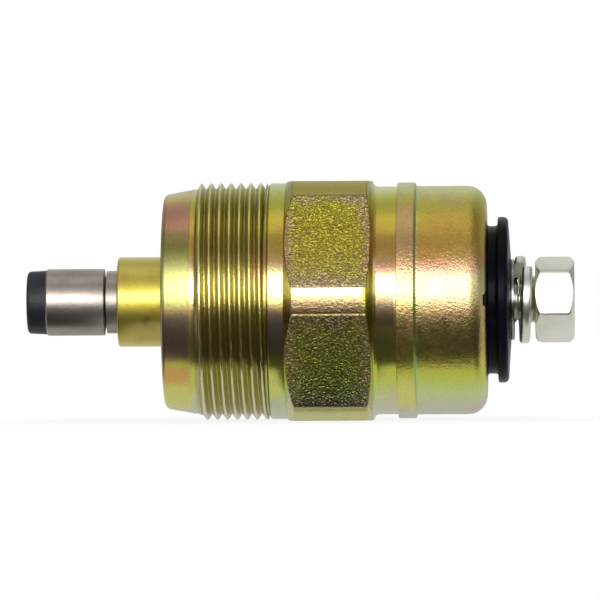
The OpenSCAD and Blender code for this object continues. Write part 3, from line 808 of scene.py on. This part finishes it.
class Recipe:
    """A geometry node tree with named number inputs."""

    def __init__(self, name: str, numbers: Sequence[str], counts: Sequence[str] = ()) -> None:
        """Starts the tree with a geometry, its own inputs and a material.

        Args:
            name: Name of the tree.
            numbers: Names of the number inputs.
            counts: Names of the whole-number inputs.
        """
        self.tree = bpy.data.node_groups.new(name, "GeometryNodeTree")
        inputs = {"Geometry": "Geometry", **dict.fromkeys(numbers, "Float"),
                  **dict.fromkeys(counts, "Int"), "Material": "Material"}
        face = self.tree.interface
        for label, kind in inputs.items():
            face.new_socket(label, in_out="INPUT", socket_type="NodeSocket" + kind)
        face.new_socket("Geometry", in_out="OUTPUT", socket_type="NodeSocketGeometry")
        self.sketch = Sketch(self.tree)
        self.given = self.sketch.node("NodeGroupInput").outputs

    def finish(self, geometry: Socket) -> bpy.types.NodeTree:
        """Ends the tree in Realize Instances and Set Material.

        Args:
            geometry: The geometry made so far.

        Returns:
            The tree.
        """
        real = self.sketch.first("GeometryNodeRealizeInstances", geometry)
        self.sketch.node("NodeGroupOutput", self.sketch.named("GeometryNodeSetMaterial", {
            "Geometry": real, "Material": self.given["Material"]}))
        return self.tree


def applied(obj: bpy.types.Object, modifier: bpy.types.Modifier) -> bmesh.types.BMesh:
    """Applies an object's modifier and takes the object away.

    Args:
        obj: The object.
        modifier: Its one modifier.

    Returns:
        The resulting mesh.
    """
    graph = bpy.context.evaluated_depsgraph_get()
    mesh = bpy.data.meshes.new_from_object(obj.evaluated_get(graph), depsgraph=graph)
    obj.modifiers.remove(modifier)
    bpy.data.objects.remove(obj)
    bm = bmesh.new()
    bm.from_mesh(mesh)
    bpy.data.meshes.remove(mesh)
    return bm


def grown(name: str, tree: bpy.types.NodeTree, values: dict[str, object],
          base: bpy.types.Object | None = None, sharp_deg: float = 32.0) -> bpy.types.Object:
    """Evaluates a recipe into a plain mesh.

    Args:
        name: Name of the finished object.
        tree: The recipe's tree.
        values: Inputs by name.
        base: Object that the recipe works on; it is used up.
        sharp_deg: Edges that turn more than this stay sharp.

    Returns:
        The finished object.
    """
    host = base or linked(name + "_host", bpy.data.meshes.new(name + "_host"))
    modifier = host.modifiers.new("recipe", "NODES")
    modifier.node_group = tree
    for item in tree.interface.items_tree:
        if item.in_out == "INPUT" and item.name in values:
            modifier[item.identifier] = values[item.name]
    bm = applied(host, modifier)
    bmesh.ops.remove_doubles(bm, verts=bm.verts, dist=1e-8)
    return mesh_object(name, bm, sharp_deg)


def thread_recipe() -> bpy.types.NodeTree:
    """Recipe that cuts a right-hand thread into a turned piece by moving its points inwards.

    Returns:
        The tree, with inputs Start, End, Pitch, Depth, Crest, Phase and Runout.
    """
    recipe = Recipe("cut_thread", ("Start", "End", "Pitch", "Depth", "Crest", "Phase", "Runout"))
    s, given = recipe.sketch, recipe.given
    start, end, pitch = (given[name] for name in ("Start", "End", "Pitch"))
    place = s.first("GeometryNodeInputPosition")
    x, y, z = s.node("ShaderNodeSeparateXYZ", place).outputs[:3]
    radius = s.off_axis(y, z)
    turn = s.math("DIVIDE", s.math("ARCTAN2", z, y), FULL_TURN)
    count = s.plus(s.minus(s.math("DIVIDE", x, pitch), turn), given["Phase"])
    off = s.math("ABSOLUTE", s.minus(s.math("FRACT", count), 0.5))
    root_to, crest_from = 0.035, 0.43  # shares of the pitch, from the middle of the groove
    cut = s.first("ShaderNodeMapRange", off, root_to, crest_from, 1.0, 0.0,
                 interpolation_type="LINEAR")
    lead_in = s.smooth(x, start, s.plus(start, s.times(pitch, 0.3)))
    run_out = s.smooth(x, end, s.minus(end, given["Runout"]))
    weight = s.times(lead_in, run_out, s.math("GREATER_THAN", radius, given["Crest"]))
    shrink = s.times(s.times(cut, weight), given["Depth"])
    ratio = s.math("DIVIDE", s.minus(radius, shrink), s.math("MAXIMUM", radius, TINY))
    moved = s.first("ShaderNodeCombineXYZ", x, s.times(y, ratio), s.times(z, ratio))
    return recipe.finish(s.named("GeometryNodeSetPosition", {
        "Geometry": given["Geometry"], "Position": moved}))


def helix_recipe() -> bpy.types.NodeTree:
    """Recipe for round wire wound on a helix along X, with closed end coils.

    Returns:
        The tree, with inputs Start, Length, Radius, Wire, Turns, Closed and Steps.
    """
    recipe = Recipe("wound_wire", ("Start", "Length", "Radius", "Wire", "Turns", "Closed"),
                    ("Steps",))
    s, given = recipe.sketch, recipe.given
    wire, turns, closed, radius = (given[name] for name in ("Wire", "Turns", "Closed", "Radius"))
    line = s.first("GeometryNodeCurvePrimitiveLine")
    fine = s.named("GeometryNodeResampleCurve", {"Curve": line, "Count": given["Steps"]})
    total = s.plus(turns, s.times(closed, 2.0))
    count = s.times(s.node("GeometryNodeSplineParameter").outputs["Factor"], total)
    angle = s.times(count, FULL_TURN)
    first = s.times(s.math("MINIMUM", count, closed), wire)
    last = s.times(s.math("MAXIMUM", s.minus(count, s.minus(total, closed)), 0.0), wire)
    middle = s.math("MINIMUM", s.math("MAXIMUM", s.minus(count, closed), 0.0), turns)
    free = s.minus(s.minus(given["Length"], wire), s.times(closed, 2.0, wire))
    x = s.plus(first, last, s.times(middle, s.math("DIVIDE", free, turns)))
    x = s.plus(x, s.plus(given["Start"], s.times(wire, 0.5)))
    spot = s.first("ShaderNodeCombineXYZ", x, s.times(s.math("COSINE", angle), radius),
                  s.times(s.math("SINE", angle), radius))
    bent = s.named("GeometryNodeSetPosition", {"Geometry": fine, "Position": spot})
    ring = s.named("GeometryNodeCurvePrimitiveCircle", {
        "Resolution": 10, "Radius": s.times(wire, 0.5)})
    return recipe.finish(s.named("GeometryNodeCurveToMesh", {
        "Curve": bent, "Profile Curve": ring, "Fill Caps": True}))


class Finishes:
    """Every finish of the part, built once."""

    def __init__(self) -> None:
        """Builds the materials."""
        self.hex_zinc = ForgedHexZinc("zinc_housing", 12.0, 0.0, 8.7).build()
        self.peel_zinc = ZincChromate("zinc_can").build()
        self.brass = TurnedMetal("brass_tube", (0.84, 0.70, 0.1), (0.68, 0.52, 0.07), 0.42,
                                 ring_depth=0.000005, grain_depth=0.00001, coat=0.5, painted_shade=0.7,
                                 stain=(-14.2, -5.2, -2.2)).build()
        self.plunger = TurnedMetal("plunger_steel", (0.54, 0.49, 0.43), (0.42, 0.37, 0.31), 0.36,
                                   ring_depth=0.000008, grain_depth=0.000009, painted_shade=0.8,
                                   line=(-18.34, -18.12)).build()
        self.nickel = TurnedMetal("nickel_plate", (0.96, 0.94, 0.83), (0.86, 0.83, 0.71), 0.3,
                                  ring_depth=0.000001, grain_depth=0.000004).build()
        self.insert = TurnedMetal("insert_plate", (0.42, 0.41, 0.39), (0.24, 0.23, 0.22),
                                  0.24).build()
        self.iron = TurnedMetal("soft_iron", (0.5, 0.5, 0.5), (0.4, 0.39, 0.38), 0.36).build()
        self.copper = TurnedMetal("winding_copper", (0.82, 0.42, 0.2), (0.6, 0.26, 0.1),
                                  0.28).build()
        self.spring = TurnedMetal("spring_wire", (0.62, 0.62, 0.63), (0.5, 0.5, 0.5), 0.25).build()
        self.rubber = Moulded("tip_rubber", (0.010, 0.011, 0.016), (0.034, 0.036, 0.044), 0.46,
                              3.0, 0.00003).build()
        self.seal = Moulded("seal_rubber", (0.01, 0.01, 0.01), (0.02, 0.02, 0.02), 0.55,
                            3.0, 0.00001).build()
        self.black = Moulded("insulator_black", (0.004, 0.004, 0.008), (0.009, 0.009, 0.016), 0.28,
                             1.2, 0.000008, 0.07).build()
        self.bobbin = Moulded("bobbin_plastic", (0.72, 0.68, 0.58), (0.66, 0.6, 0.5), 0.45,
                              2.0, 0.000008).build()
        self.tape = Moulded("winding_tape", (0.72, 0.5, 0.12), (0.6, 0.4, 0.1), 0.3,
                            1.0, 0.00001).build()
        self.jacket = Moulded("lead_jacket", (0.5, 0.06, 0.04), (0.4, 0.05, 0.04), 0.4,
                              2.0, 0.000005).build()


def settle(obj: bpy.types.Object, body: str, node: str,
           material: bpy.types.Material) -> None:
    """Dresses a finished piece and puts it in the place of its CAD node.

    Args:
        obj: The piece.
        body: CAD body that carries it.
        node: CAD node that it replaces.
        material: The finish.
    """
    obj.data.materials.clear()
    obj.data.materials.append(material)
    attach(obj, body)
    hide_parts(node)
    log.info("%s: %d faces", obj.name, len(obj.data.polygons))


@dataclass
class Assembly:
    """A sub-assembly that is dressed in the part's finishes."""

    finishes: Finishes


@dataclass
class Housing(Assembly):
    """Turned and hexagonal housing with its mounting thread."""

    nose_x: float = -12.25
    nose_r: float = 10.72
    relief_r: float = 11.28
    thread_x0: float = -8.85
    thread_x1: float = -1.9
    thread_r: float = 11.9
    thread_rows: int = 168
    runout_r: float = 11.42
    runout_x1: float = -1.7
    pitch: float = 1.0
    thread_depth: float = 0.6
    phase: float = 0.8
    land_r: float = 11.85
    hex_af: float = 24.0
    hex_corner_r: float = 13.125
    hex_len: float = 8.7
    hex_in: float = 11.2
    neck_r: float = 11.45
    neck_x1: float = 11.2
    spigot_r: float = 11.0
    spigot_x1: float = 12.95
    cavity_r: float = 9.7
    cavity_x0: float = -7.3
    bore_r: float = 4.53
    seal_r: float = 5.7
    seal_x0: float = -10.8
    seal_x1: float = -9.0
    segments: int = 256

    def outline(self) -> list[Pair]:
        """Section of the turned part.

        Returns:
            Points as (x, r) in mm, with close rows along the thread.
        """
        front = rounded([
            (self.nose_x, self.bore_r, 0.1), (self.nose_x, self.nose_r, 0.6),
            (-9.45, 11.24, 0.05), (-9.40, self.relief_r, 0.05),
            (self.thread_x0, self.relief_r, 0.05), (self.thread_x0, 11.6, 0.0),
            (-8.9, 8.0, 0.0)], 6)[:-2]
        first, rows = self.thread_x0 + 0.3, self.thread_rows
        span = self.thread_x1 - first
        thread = [(first + span * i / rows, self.thread_r) for i in range(rows + 1)]
        rear = rounded([
            (self.thread_x1, self.runout_r, 0.0), (self.runout_x1, self.runout_r, 0.0),
            (self.runout_x1, 11.65, 0.04),
            (-1.5, self.land_r, 0.06), (0.06, self.land_r, 0.0), (0.06, self.neck_r, 0.0),
            (8.3, self.neck_r, 0.0), (8.6, 11.92, 0.03), (8.72, 11.86, 0.05),
            (8.9, 11.56, 0.3), (9.25, self.neck_r, 0.3),
            (self.neck_x1, self.neck_r, 0.0), (self.neck_x1, self.spigot_r, 0.0),
            (self.spigot_x1, self.spigot_r, 0.1), (self.spigot_x1, self.cavity_r, 0.1),
            (self.cavity_x0, self.cavity_r, 0.2), (self.cavity_x0, self.bore_r, 0.0),
            (self.seal_x1, self.bore_r, 0.0), (self.seal_x1, self.seal_r, 0.1),
            (self.seal_x0, self.seal_r, 0.1), (self.seal_x0, self.bore_r, 0.0)], 4)
        return front + thread + rear

    def build(self) -> None:
        """Builds and places the housing."""
        smooth_body = mesh_object("housing_turned", turned_bmesh(self.outline(), self.segments))
        body = grown("housing_threaded", thread_recipe(), {
            "Start": (self.thread_x0 + 0.1) * MM, "End": self.thread_x1 * MM,
            "Pitch": self.pitch * MM, "Depth": self.thread_depth * MM,
            "Crest": (self.thread_r - 0.06) * MM, "Phase": self.phase, "Runout": 0.05 * MM,
            "Material": self.finishes.hex_zinc}, smooth_body, 40.0)
        hexagon = lofted("housing_hexagon", hex_columns(
            self.hex_af, self.hex_corner_r, 0.0, self.hex_len, self.hex_in,
            (self.land_r, 0.85), (12.0, 0.4), 0.0, 0.12), True)
        settle(joined("housing_visual", [body, hexagon]), ROOT, "housing",
               self.finishes.hex_zinc)


@dataclass
class RearCan(Assembly):
    """Drawn can with a belled mouth, a rounded end and a key notch."""

    mouth_x: float = 11.2
    mouth_in: float = 11.0
    ring_r: float = 11.85
    ring_x1: float = 12.95
    body_r: float = 11.48
    wall: float = 0.85
    end_x: float = 20.13
    hole_r: float = 7.55
    end_round: float = 2.0
    notch_r: float = 0.73
    notch_depth: float = 0.5
    cutter_y: float = -8.6
    cutter_len: float = 4.0

    def build(self) -> None:
        """Builds and places the can."""
        inner = self.body_r - self.wall
        outline = [
            (self.mouth_x, self.mouth_in, 0.05), (self.mouth_x, self.ring_r, 0.08),
            (self.ring_x1, self.ring_r, 0.1), (self.ring_x1 + 0.2, self.body_r, 0.12),
            (self.end_x, self.body_r, self.end_round), (self.end_x, self.hole_r, 0.08),
            (self.end_x - self.wall, self.hole_r, 0.05),
            (self.end_x - self.wall, inner, self.end_round - self.wall),
            (self.ring_x1, inner, 0.0), (self.ring_x1, self.mouth_in, 0.0)]
        can = mesh_object("can_turned", turned_bmesh(rounded(outline, 10), 256))
        cutter = linked("notch_cutter", bpy.data.meshes.new("notch_cutter"))
        bm = bmesh.new()
        bmesh.ops.create_cone(bm, cap_ends=True, segments=48, radius1=self.notch_r * MM,
                              radius2=self.notch_r * MM, depth=self.cutter_len * MM)
        bmesh.ops.rotate(bm, verts=bm.verts, matrix=Matrix.Rotation(math.pi / 2, 3, "X"))
        bmesh.ops.translate(bm, verts=bm.verts, vec=Vector(
            (self.end_x + self.notch_r - self.notch_depth, self.cutter_y, 0.0)) * MM)
        bm.to_mesh(cutter.data)
        bm.free()
        cut = can.modifiers.new("notch", "BOOLEAN")
        cut.operation = "DIFFERENCE"
        cut.solver = "EXACT"
        cut.object = cutter
        bm = applied(can, cut)
        bpy.data.objects.remove(cutter)
        settle(mesh_object("rear_can_visual", bm), ROOT, "rear_can",
               self.finishes.peel_zinc)


@dataclass
class PlungerSet(Assembly):
    """Brass guide tube, plunger and rubber tip."""

    tube_x0: float = -16.95
    tube_x1: float = 12.95
    tube_r: float = 4.5
    tube_in: float = 3.4
    lip_x1: float = -16.15
    lip_in: float = 3.2
    collar_x0: float = -7.3
    collar_x1: float = -6.5
    collar_r: float = 7.0
    head_x0: float = -24.2
    head_x1: float = -18.1
    neck_r: float = 2.6
    slim_r: float = 3.15
    guide_x0: float = -16.13
    guide_r: float = 3.35
    rear_x: float = 1.97
    pocket_x: float = -3.03
    pocket_r: float = 2.0
    tip_x0: float = -26.1

    def build(self) -> None:
        """Builds and places the three pieces."""
        tube = turned("guide_tube_visual", [
            (self.tube_x0, self.lip_in, 0.12), (self.tube_x0, self.tube_r, 0.25),
            (self.collar_x0, self.tube_r, 0.0), (self.collar_x0, self.collar_r, 0.1),
            (self.collar_x1, self.collar_r, 0.1), (self.collar_x1, self.tube_r, 0.0),
            (self.tube_x1, self.tube_r, 0.1), (self.tube_x1, self.tube_in, 0.05),
            (self.lip_x1, self.tube_in, 0.0), (self.lip_x1, self.lip_in, 0.0)])
        steel = turned("plunger_visual", [
            (self.head_x0, 1.63, 0.0), (self.head_x0, 3.2, 0.03),
            (self.head_x0 + 0.15, self.guide_r, 0.05), (self.head_x1 - 0.25, self.guide_r, 0.03),
            (self.head_x1 - 0.24, self.neck_r, 0.0), (self.head_x1 - 0.02, self.neck_r, 0.0),
            (self.head_x1, self.slim_r, 0.02), (self.guide_x0, self.slim_r, 0.0),
            (self.guide_x0, self.guide_r, 0.05), (self.rear_x, self.guide_r, 0.15),
            (self.rear_x, self.pocket_r, 0.1), (self.pocket_x, self.pocket_r, 0.1),
            (self.pocket_x, 0.0, 0.0), (-21.57, 0.0, 0.0), (-21.57, 2.13, 0.0),
            (-22.33, 2.13, 0.0), (-22.33, 1.63, 0.0)])
        tip = turned("plunger_tip_visual", [
            (self.tip_x0, 0.0, 0.0), (self.tip_x0, 3.12, 0.4), (-24.5, 3.19, 0.2),
            (self.head_x0, 3.22, 0.03), (self.head_x0, 1.6, 0.0), (-22.3, 1.6, 0.1),
            (-22.3, 2.1, 0.15), (-21.6, 2.1, 0.15), (-21.6, 0.0, 0.0)], 160)
        settle(tube, ROOT, "guide_tube", self.finishes.brass)
        settle(steel, MOVING, "plunger", self.finishes.plunger)
        settle(tip, MOVING, "plunger_tip", self.finishes.rubber)


@dataclass
class Terminal(Assembly):
    """Insulator, threaded insert, lock washer and terminal screw."""

    can_end: float = 20.13
    groove_x1: float = 21.33
    rim_x1: float = 22.26
    insert_x1: float = 22.57
    seat_x: float = 22.88
    washer_t: float = 1.03
    washer_rise: float = 0.8
    washer_in: float = 2.6
    washer_out: float = 4.4
    split_deg: float = 54.0
    split_open: float = 9.0
    head_x0: float = 24.97
    head_x1: float = 28.9
    head_af: float = 7.8
    head_corner_r: float = 4.45
    head_turn: float = 11.0
    screw_x0: float = 17.3
    screw_x1: float = 24.7
    screw_r: float = 2.45
    screw_pitch: float = 0.8
    screw_depth: float = 0.42
    screw_rows: int = 90
    key_r: float = 0.68
    key_rows: tuple[float, ...] = (-7.3, -8.2, -9.0, -9.85)

    def insulator(self) -> bpy.types.Object:
        """Builds the moulded insulator with its key.

        Returns:
            The unplaced object.
        """
        body = turned("insulator_turned", [
            (14.95, 8.6, 0.1), (14.95, 10.2, 0.2), (18.78, 10.2, 0.3), (18.78, 7.52, 0.0),
            (self.can_end + 0.03, 7.52, 0.0), (self.can_end + 0.05, 7.78, 0.02),
            (self.can_end + 0.1, 7.42, 0.3), (self.groove_x1 - 0.02, 7.42, 0.34),
            (self.groove_x1 - 0.12, 8.33, 0.2), (self.rim_x1, 8.33, 0.5),
            (self.insert_x1 - 0.02, 4.1, 0.1),
            (self.insert_x1 - 0.02, 3.51, 0.0), (17.3, 3.51, 0.0), (17.3, 8.6, 0.2)], 256)
        section = []
        for k in range(25):
            a = math.pi * (0.5 + k / 24)
            x = self.can_end + 0.23 + self.key_r * math.cos(a)
            section.append((min(x, self.can_end - 0.005), self.key_r * math.sin(a)))
        columns = [[Vector((x, y, z)) for x, z in section] for y in self.key_rows]
        key = lofted("insulator_key", columns, False)
        return joined("terminal_insulator_visual", [body, key])

    def washer(self) -> bpy.types.Object:
        """Builds the split lock washer.

        Returns:
            The unplaced object.
        """
        section = rounded([
            (0.0, self.washer_in, 0.12), (0.0, self.washer_out, 0.32),
            (self.washer_t, self.washer_out, 0.32), (self.washer_t, self.washer_in, 0.12)], 4)
        columns = []
        steps = 120
        for i in range(steps + 1):
            t = i / steps
            a = math.radians(self.split_deg + self.split_open / 2 + t * (360 - self.split_open))
            x0 = self.seat_x + t * self.washer_rise
            columns.append([Vector((x0 + x, -r * math.cos(a), r * math.sin(a)))
                            for x, r in section])
        return lofted("lock_washer_visual", columns, False)

    def screw(self) -> bpy.types.Object:
        """Builds the hexagon head screw with its thread."""
        first, rows = 17.9, self.screw_rows
        span = self.screw_x1 - 0.1 - first
        shank = [(self.screw_x0 + 0.1, 0.0), (self.screw_x0 + 0.1, 1.95)]
        shank += [(first + span * i / rows, self.screw_r) for i in range(rows + 1)]
        shank += [(self.head_x0 + 0.1, self.screw_r), (self.head_x0 + 0.1, 0.0)]
        smooth_body = mesh_object("screw_shank", turned_bmesh(shank, 96))
        body = grown("screw_threaded", thread_recipe(), {
            "Start": self.screw_x0 * MM, "End": self.screw_x1 * MM,
            "Pitch": self.screw_pitch * MM, "Depth": self.screw_depth * MM,
            "Crest": (self.screw_r - 0.05) * MM, "Phase": 0.3, "Runout": 0.1 * MM,
            "Material": self.finishes.nickel}, smooth_body, 40.0)
        head = lofted("screw_head", hex_columns(
            self.head_af, self.head_corner_r, self.head_x0, self.head_x1, 0.01,
            (3.85, 0.42), (3.75, 0.42), 30.0 - self.head_turn, 0.28), True)
        return joined("terminal_screw_visual", [body, head])

    def build(self) -> None:
        """Builds and places the four pieces."""
        insert = turned("terminal_insert_visual", [
            (16.3, 0.0, 0.0), (16.3, 3.5, 0.1), (self.insert_x1, 3.5, 0.0),
            (self.insert_x1, 4.06, 0.05), (self.seat_x, 4.06, 0.08), (self.seat_x, 2.5, 0.1),
            (17.0, 2.5, 0.1), (17.0, 0.0, 0.0)], 128)
        for obj, node, slot, finish in (
                (self.insulator(), "terminal_insulator", "insulator_black", self.finishes.black),
                (insert, "terminal_insert", "nickel", self.finishes.insert),
                (self.washer(), "lock_washer", "nickel", self.finishes.nickel),
                (self.screw(), "terminal_screw", "nickel", self.finishes.nickel)):
            settle(obj, ROOT, node, finish)


@dataclass
class Inside(Assembly):
    """Return spring, winding and the finishes of the sealed pieces."""

    spring_x0: float = -3.03
    spring_x1: float = 6.19
    spring_r: float = 1.55
    spring_wire: float = 0.45
    stroke: float = 1.0
    coil_x0: float = -5.6
    coil_x1: float = 11.35
    coil_in: float = 5.3
    coil_r: float = 8.25
    coil_wire: float = 0.5

    def spring(self) -> None:
        """Builds the return spring and gives it a mesh of its own."""
        length = self.spring_x1 - self.spring_x0
        obj = grown("return_spring_visual", helix_recipe(), {
            "Start": self.spring_x0 * MM, "Length": length * MM, "Radius": self.spring_r * MM,
            "Wire": self.spring_wire * MM, "Turns": 7.0, "Closed": 1.0, "Steps": 400,
            "Material": self.finishes.spring})
        settle(obj, ROOT, "return_spring", self.finishes.spring)
        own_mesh(obj)

    def winding(self) -> None:
        """Builds the winding as a core with its outer layer of turns."""
        core = turned("winding_core", [
            (self.coil_x0, self.coil_in, 0.0), (self.coil_x0, self.coil_r, 0.0),
            (self.coil_x1, self.coil_r, 0.0), (self.coil_x1, self.coil_in, 0.0)], 128)
        wire = grown("winding_layer", helix_recipe(), {
            "Start": (self.coil_x0 + 0.02) * MM, "Length": 16.9 * MM,
            "Radius": (self.coil_r + 0.08) * MM, "Wire": self.coil_wire * MM,
            "Turns": 32.0, "Closed": 0.0, "Steps": 2000, "Material": self.finishes.copper})
        settle(joined("coil_winding_visual", [core, wire]), ROOT, "coil_winding",
               self.finishes.copper)

    def dress(self) -> None:
        """Gives the sealed CAD nodes their finishes."""
        chosen = self.finishes
        for material, nodes in (
                (chosen.iron, ("pole_core", "flux_plate")), (chosen.brass, ("stop_shim",)),
                (chosen.seal, ("core_seal", "nose_seal", "insulator_gasket")),
                (chosen.bobbin, ("coil_bobbin",)), (chosen.tape, ("winding_tape",)),
                (chosen.spring, ("wave_washer",)), (chosen.jacket, ("coil_lead",)),
                (chosen.copper, ("ground_lead",))):
            for node in nodes:
                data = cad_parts[node].data
                data.materials.clear()
                data.materials.append(material)
                log.info("%s: %s", node, material.name)

    def build(self) -> None:
        """Builds and dresses everything inside."""
        self.spring()
        self.winding()
        self.dress()


@dataclass
class Studio:
    """Floor, light and camera."""

    floor_z: float = -12.0
    distance: float = 850.0
    swing_deg: float = 2.1
    roll_deg: float = 0.35
    lens: float = 507.0
    sensor: float = 36.0
    aim: Corner = (1.3, 0.0, 0.1)
    lamps: tuple[tuple[str, Corner, Pair, float], ...] = (
        ("front_box", (-0.1, -1.25, 0.294), (1.4, 0.632), 10.6),
        ("top_box", (0.0, -0.1, 1.0), (1.0, 0.5), 0.5))

    def floor(self) -> None:
        """Lays the floor, pale, with the object's shadow on it.

        Metal and rubber see a glow in it instead, dark with a bright front part whose edge changes
        along the part: a painted reflection, since the floor is no lamp.
        """
        bm = bmesh.new()
        bmesh.ops.create_grid(bm, x_segments=8, y_segments=8, size=3.0)
        bmesh.ops.translate(bm, verts=bm.verts, vec=Vector((0, 0, self.floor_z * MM)))
        floor = mesh_object("floor", bm)
        material = bpy.data.materials.new("floor_white")
        s = Sketch.afresh(material)
        place = s.node("ShaderNodeTexCoord").outputs["Object"]
        x, y = s.node("ShaderNodeSeparateXYZ", place).outputs[:2]
        # Glow seen only in reflections, dark far in front and bright near the part, with its edge
        # set along the part: painted reflection.
        reach = s.grey_ramp(s.math("DIVIDE", s.plus(x, 0.03), 0.06), (
            (0.19, 0.12), (0.22, 0.967), (0.48, 0.967), (0.5, 0.55), (0.64, 0.55),
            (0.66, 0.967), (0.88, 0.967), (0.90, 0.6)))
        edge = s.plus(y, s.times(reach, 0.012))
        shade = s.smooth(edge, -0.0003, 0.0003, 0.05, 0.62)
        painted_reflection = s.first("ShaderNodeEmission", s.grey(shade))
        path = s.node("ShaderNodeLightPath").outputs
        far = s.smooth(s.vector("LENGTH", place).outputs[1], 0.018, 0.045, 0.86, 1.0)
        diffuse = s.first("ShaderNodeBsdfDiffuse", (0.92, 0.92, 0.92))
        white = s.first("ShaderNodeEmission")
        plain = s.first("ShaderNodeMixShader", s.times(path["Is Camera Ray"], far), diffuse,
                       white)
        reflected = s.math("MAXIMUM", path["Is Glossy Ray"], path["Is Transmission Ray"])
        mixed = s.first("ShaderNodeMixShader", reflected, plain, painted_reflection)
        s.node("ShaderNodeOutputMaterial", mixed)
        floor.data.materials.append(material)

    def world(self) -> None:
        """Makes the surroundings: white to the camera, soft grey rooms to the metal."""
        world = bpy.data.worlds.new("studio")
        bpy.context.scene.world = world
        s = Sketch.afresh(world)
        way = s.node("ShaderNodeSeparateXYZ",
                     s.node("ShaderNodeTexCoord").outputs["Generated"]).outputs
        rise = s.math("ARCTAN2", way[2], s.times(way[1], -1.0))
        turn = s.math("DIVIDE", rise, math.pi)
        room = s.grey_ramp(s.plus(s.times(turn, 0.5), 0.5), (
            (0.0, 0.62), (0.30, 0.62), (0.315, 0.06), (0.37, 0.035), (0.45, 0.05), (0.50, 0.2),
            (0.60, 0.4), (0.683, 0.33), (0.725, 0.42), (0.828, 0.42), (0.914, 0.72), (1.0, 0.62)))
        aside = s.math("ABSOLUTE", way[0])
        room = s.mix(1.0, room, s.grey(s.smooth(aside, 0.1, 0.5, 1.0, 0.5)), "MULTIPLY")
        wing = s.times(s.smooth(aside, 0.3, 0.45, 0.0, 0.85),
                       s.band(rise, (0.0, 0.1), (0.85, 0.65)))
        room = s.mix(1.0, room, s.grey(wing), "ADD")
        path = s.node("ShaderNodeLightPath").outputs
        soft = s.mix(path["Is Glossy Ray"], (0.45, 0.45, 0.45), room)
        seen = s.mix(path["Is Camera Ray"], soft, (1.0, 1.0, 1.0))
        s.node("ShaderNodeOutputWorld", s.first("ShaderNodeBackground", seen))

    def lamp(self, name: str, spot: Corner, size: Pair, power: float) -> None:
        """Hangs one soft box that faces the object.

        Args:
            name: Name of the lamp.
            spot: Its centre in metres.
            size: Width and height in metres.
            power: Power in watts.
        """
        data = bpy.data.lights.new(name, "AREA")
        data.shape = "RECTANGLE"
        data.size, data.size_y = size
        data.energy = power
        lamp = linked(name, data)
        lamp.location = spot
        lamp.rotation_euler = (Vector((0, 0, 0)) - Vector(spot)).to_track_quat("-Z", "Y").to_euler()

    def camera(self) -> None:
        """Sets the camera at the photograph's angle."""
        data = bpy.data.cameras.new("camera")
        data.lens = self.lens
        data.sensor_width = self.sensor
        data.clip_start = 0.05
        camera = linked("camera", data)
        swing = math.radians(self.swing_deg)
        aim = Vector(self.aim) * MM
        spot = aim + Vector((math.sin(swing), -math.cos(swing), 0.0)) * self.distance * MM
        look = (aim - spot).to_track_quat("-Z", "Y").to_matrix()
        look = look @ Matrix.Rotation(math.radians(-self.roll_deg), 3, "Z")
        camera.matrix_world = Matrix.Translation(spot) @ look.to_4x4()
        bpy.context.scene.camera = camera

    def build(self) -> None:
        """Sets up the whole stage."""
        bpy.context.scene.view_settings.view_transform = "Standard"
        self.camera()
        self.floor()
        self.world()
        for lamp in self.lamps:
            self.lamp(*lamp)


def main() -> None:
    """Builds the stage and every piece in order."""
    logging.basicConfig(level=logging.INFO, format="%(name)s %(message)s")
    finishes = Finishes()
    Studio().build()
    for assembly in (Housing, RearCan, PlungerSet, Terminal, Inside):
        assembly(finishes).build()


if __name__ == "__main__":
    main()
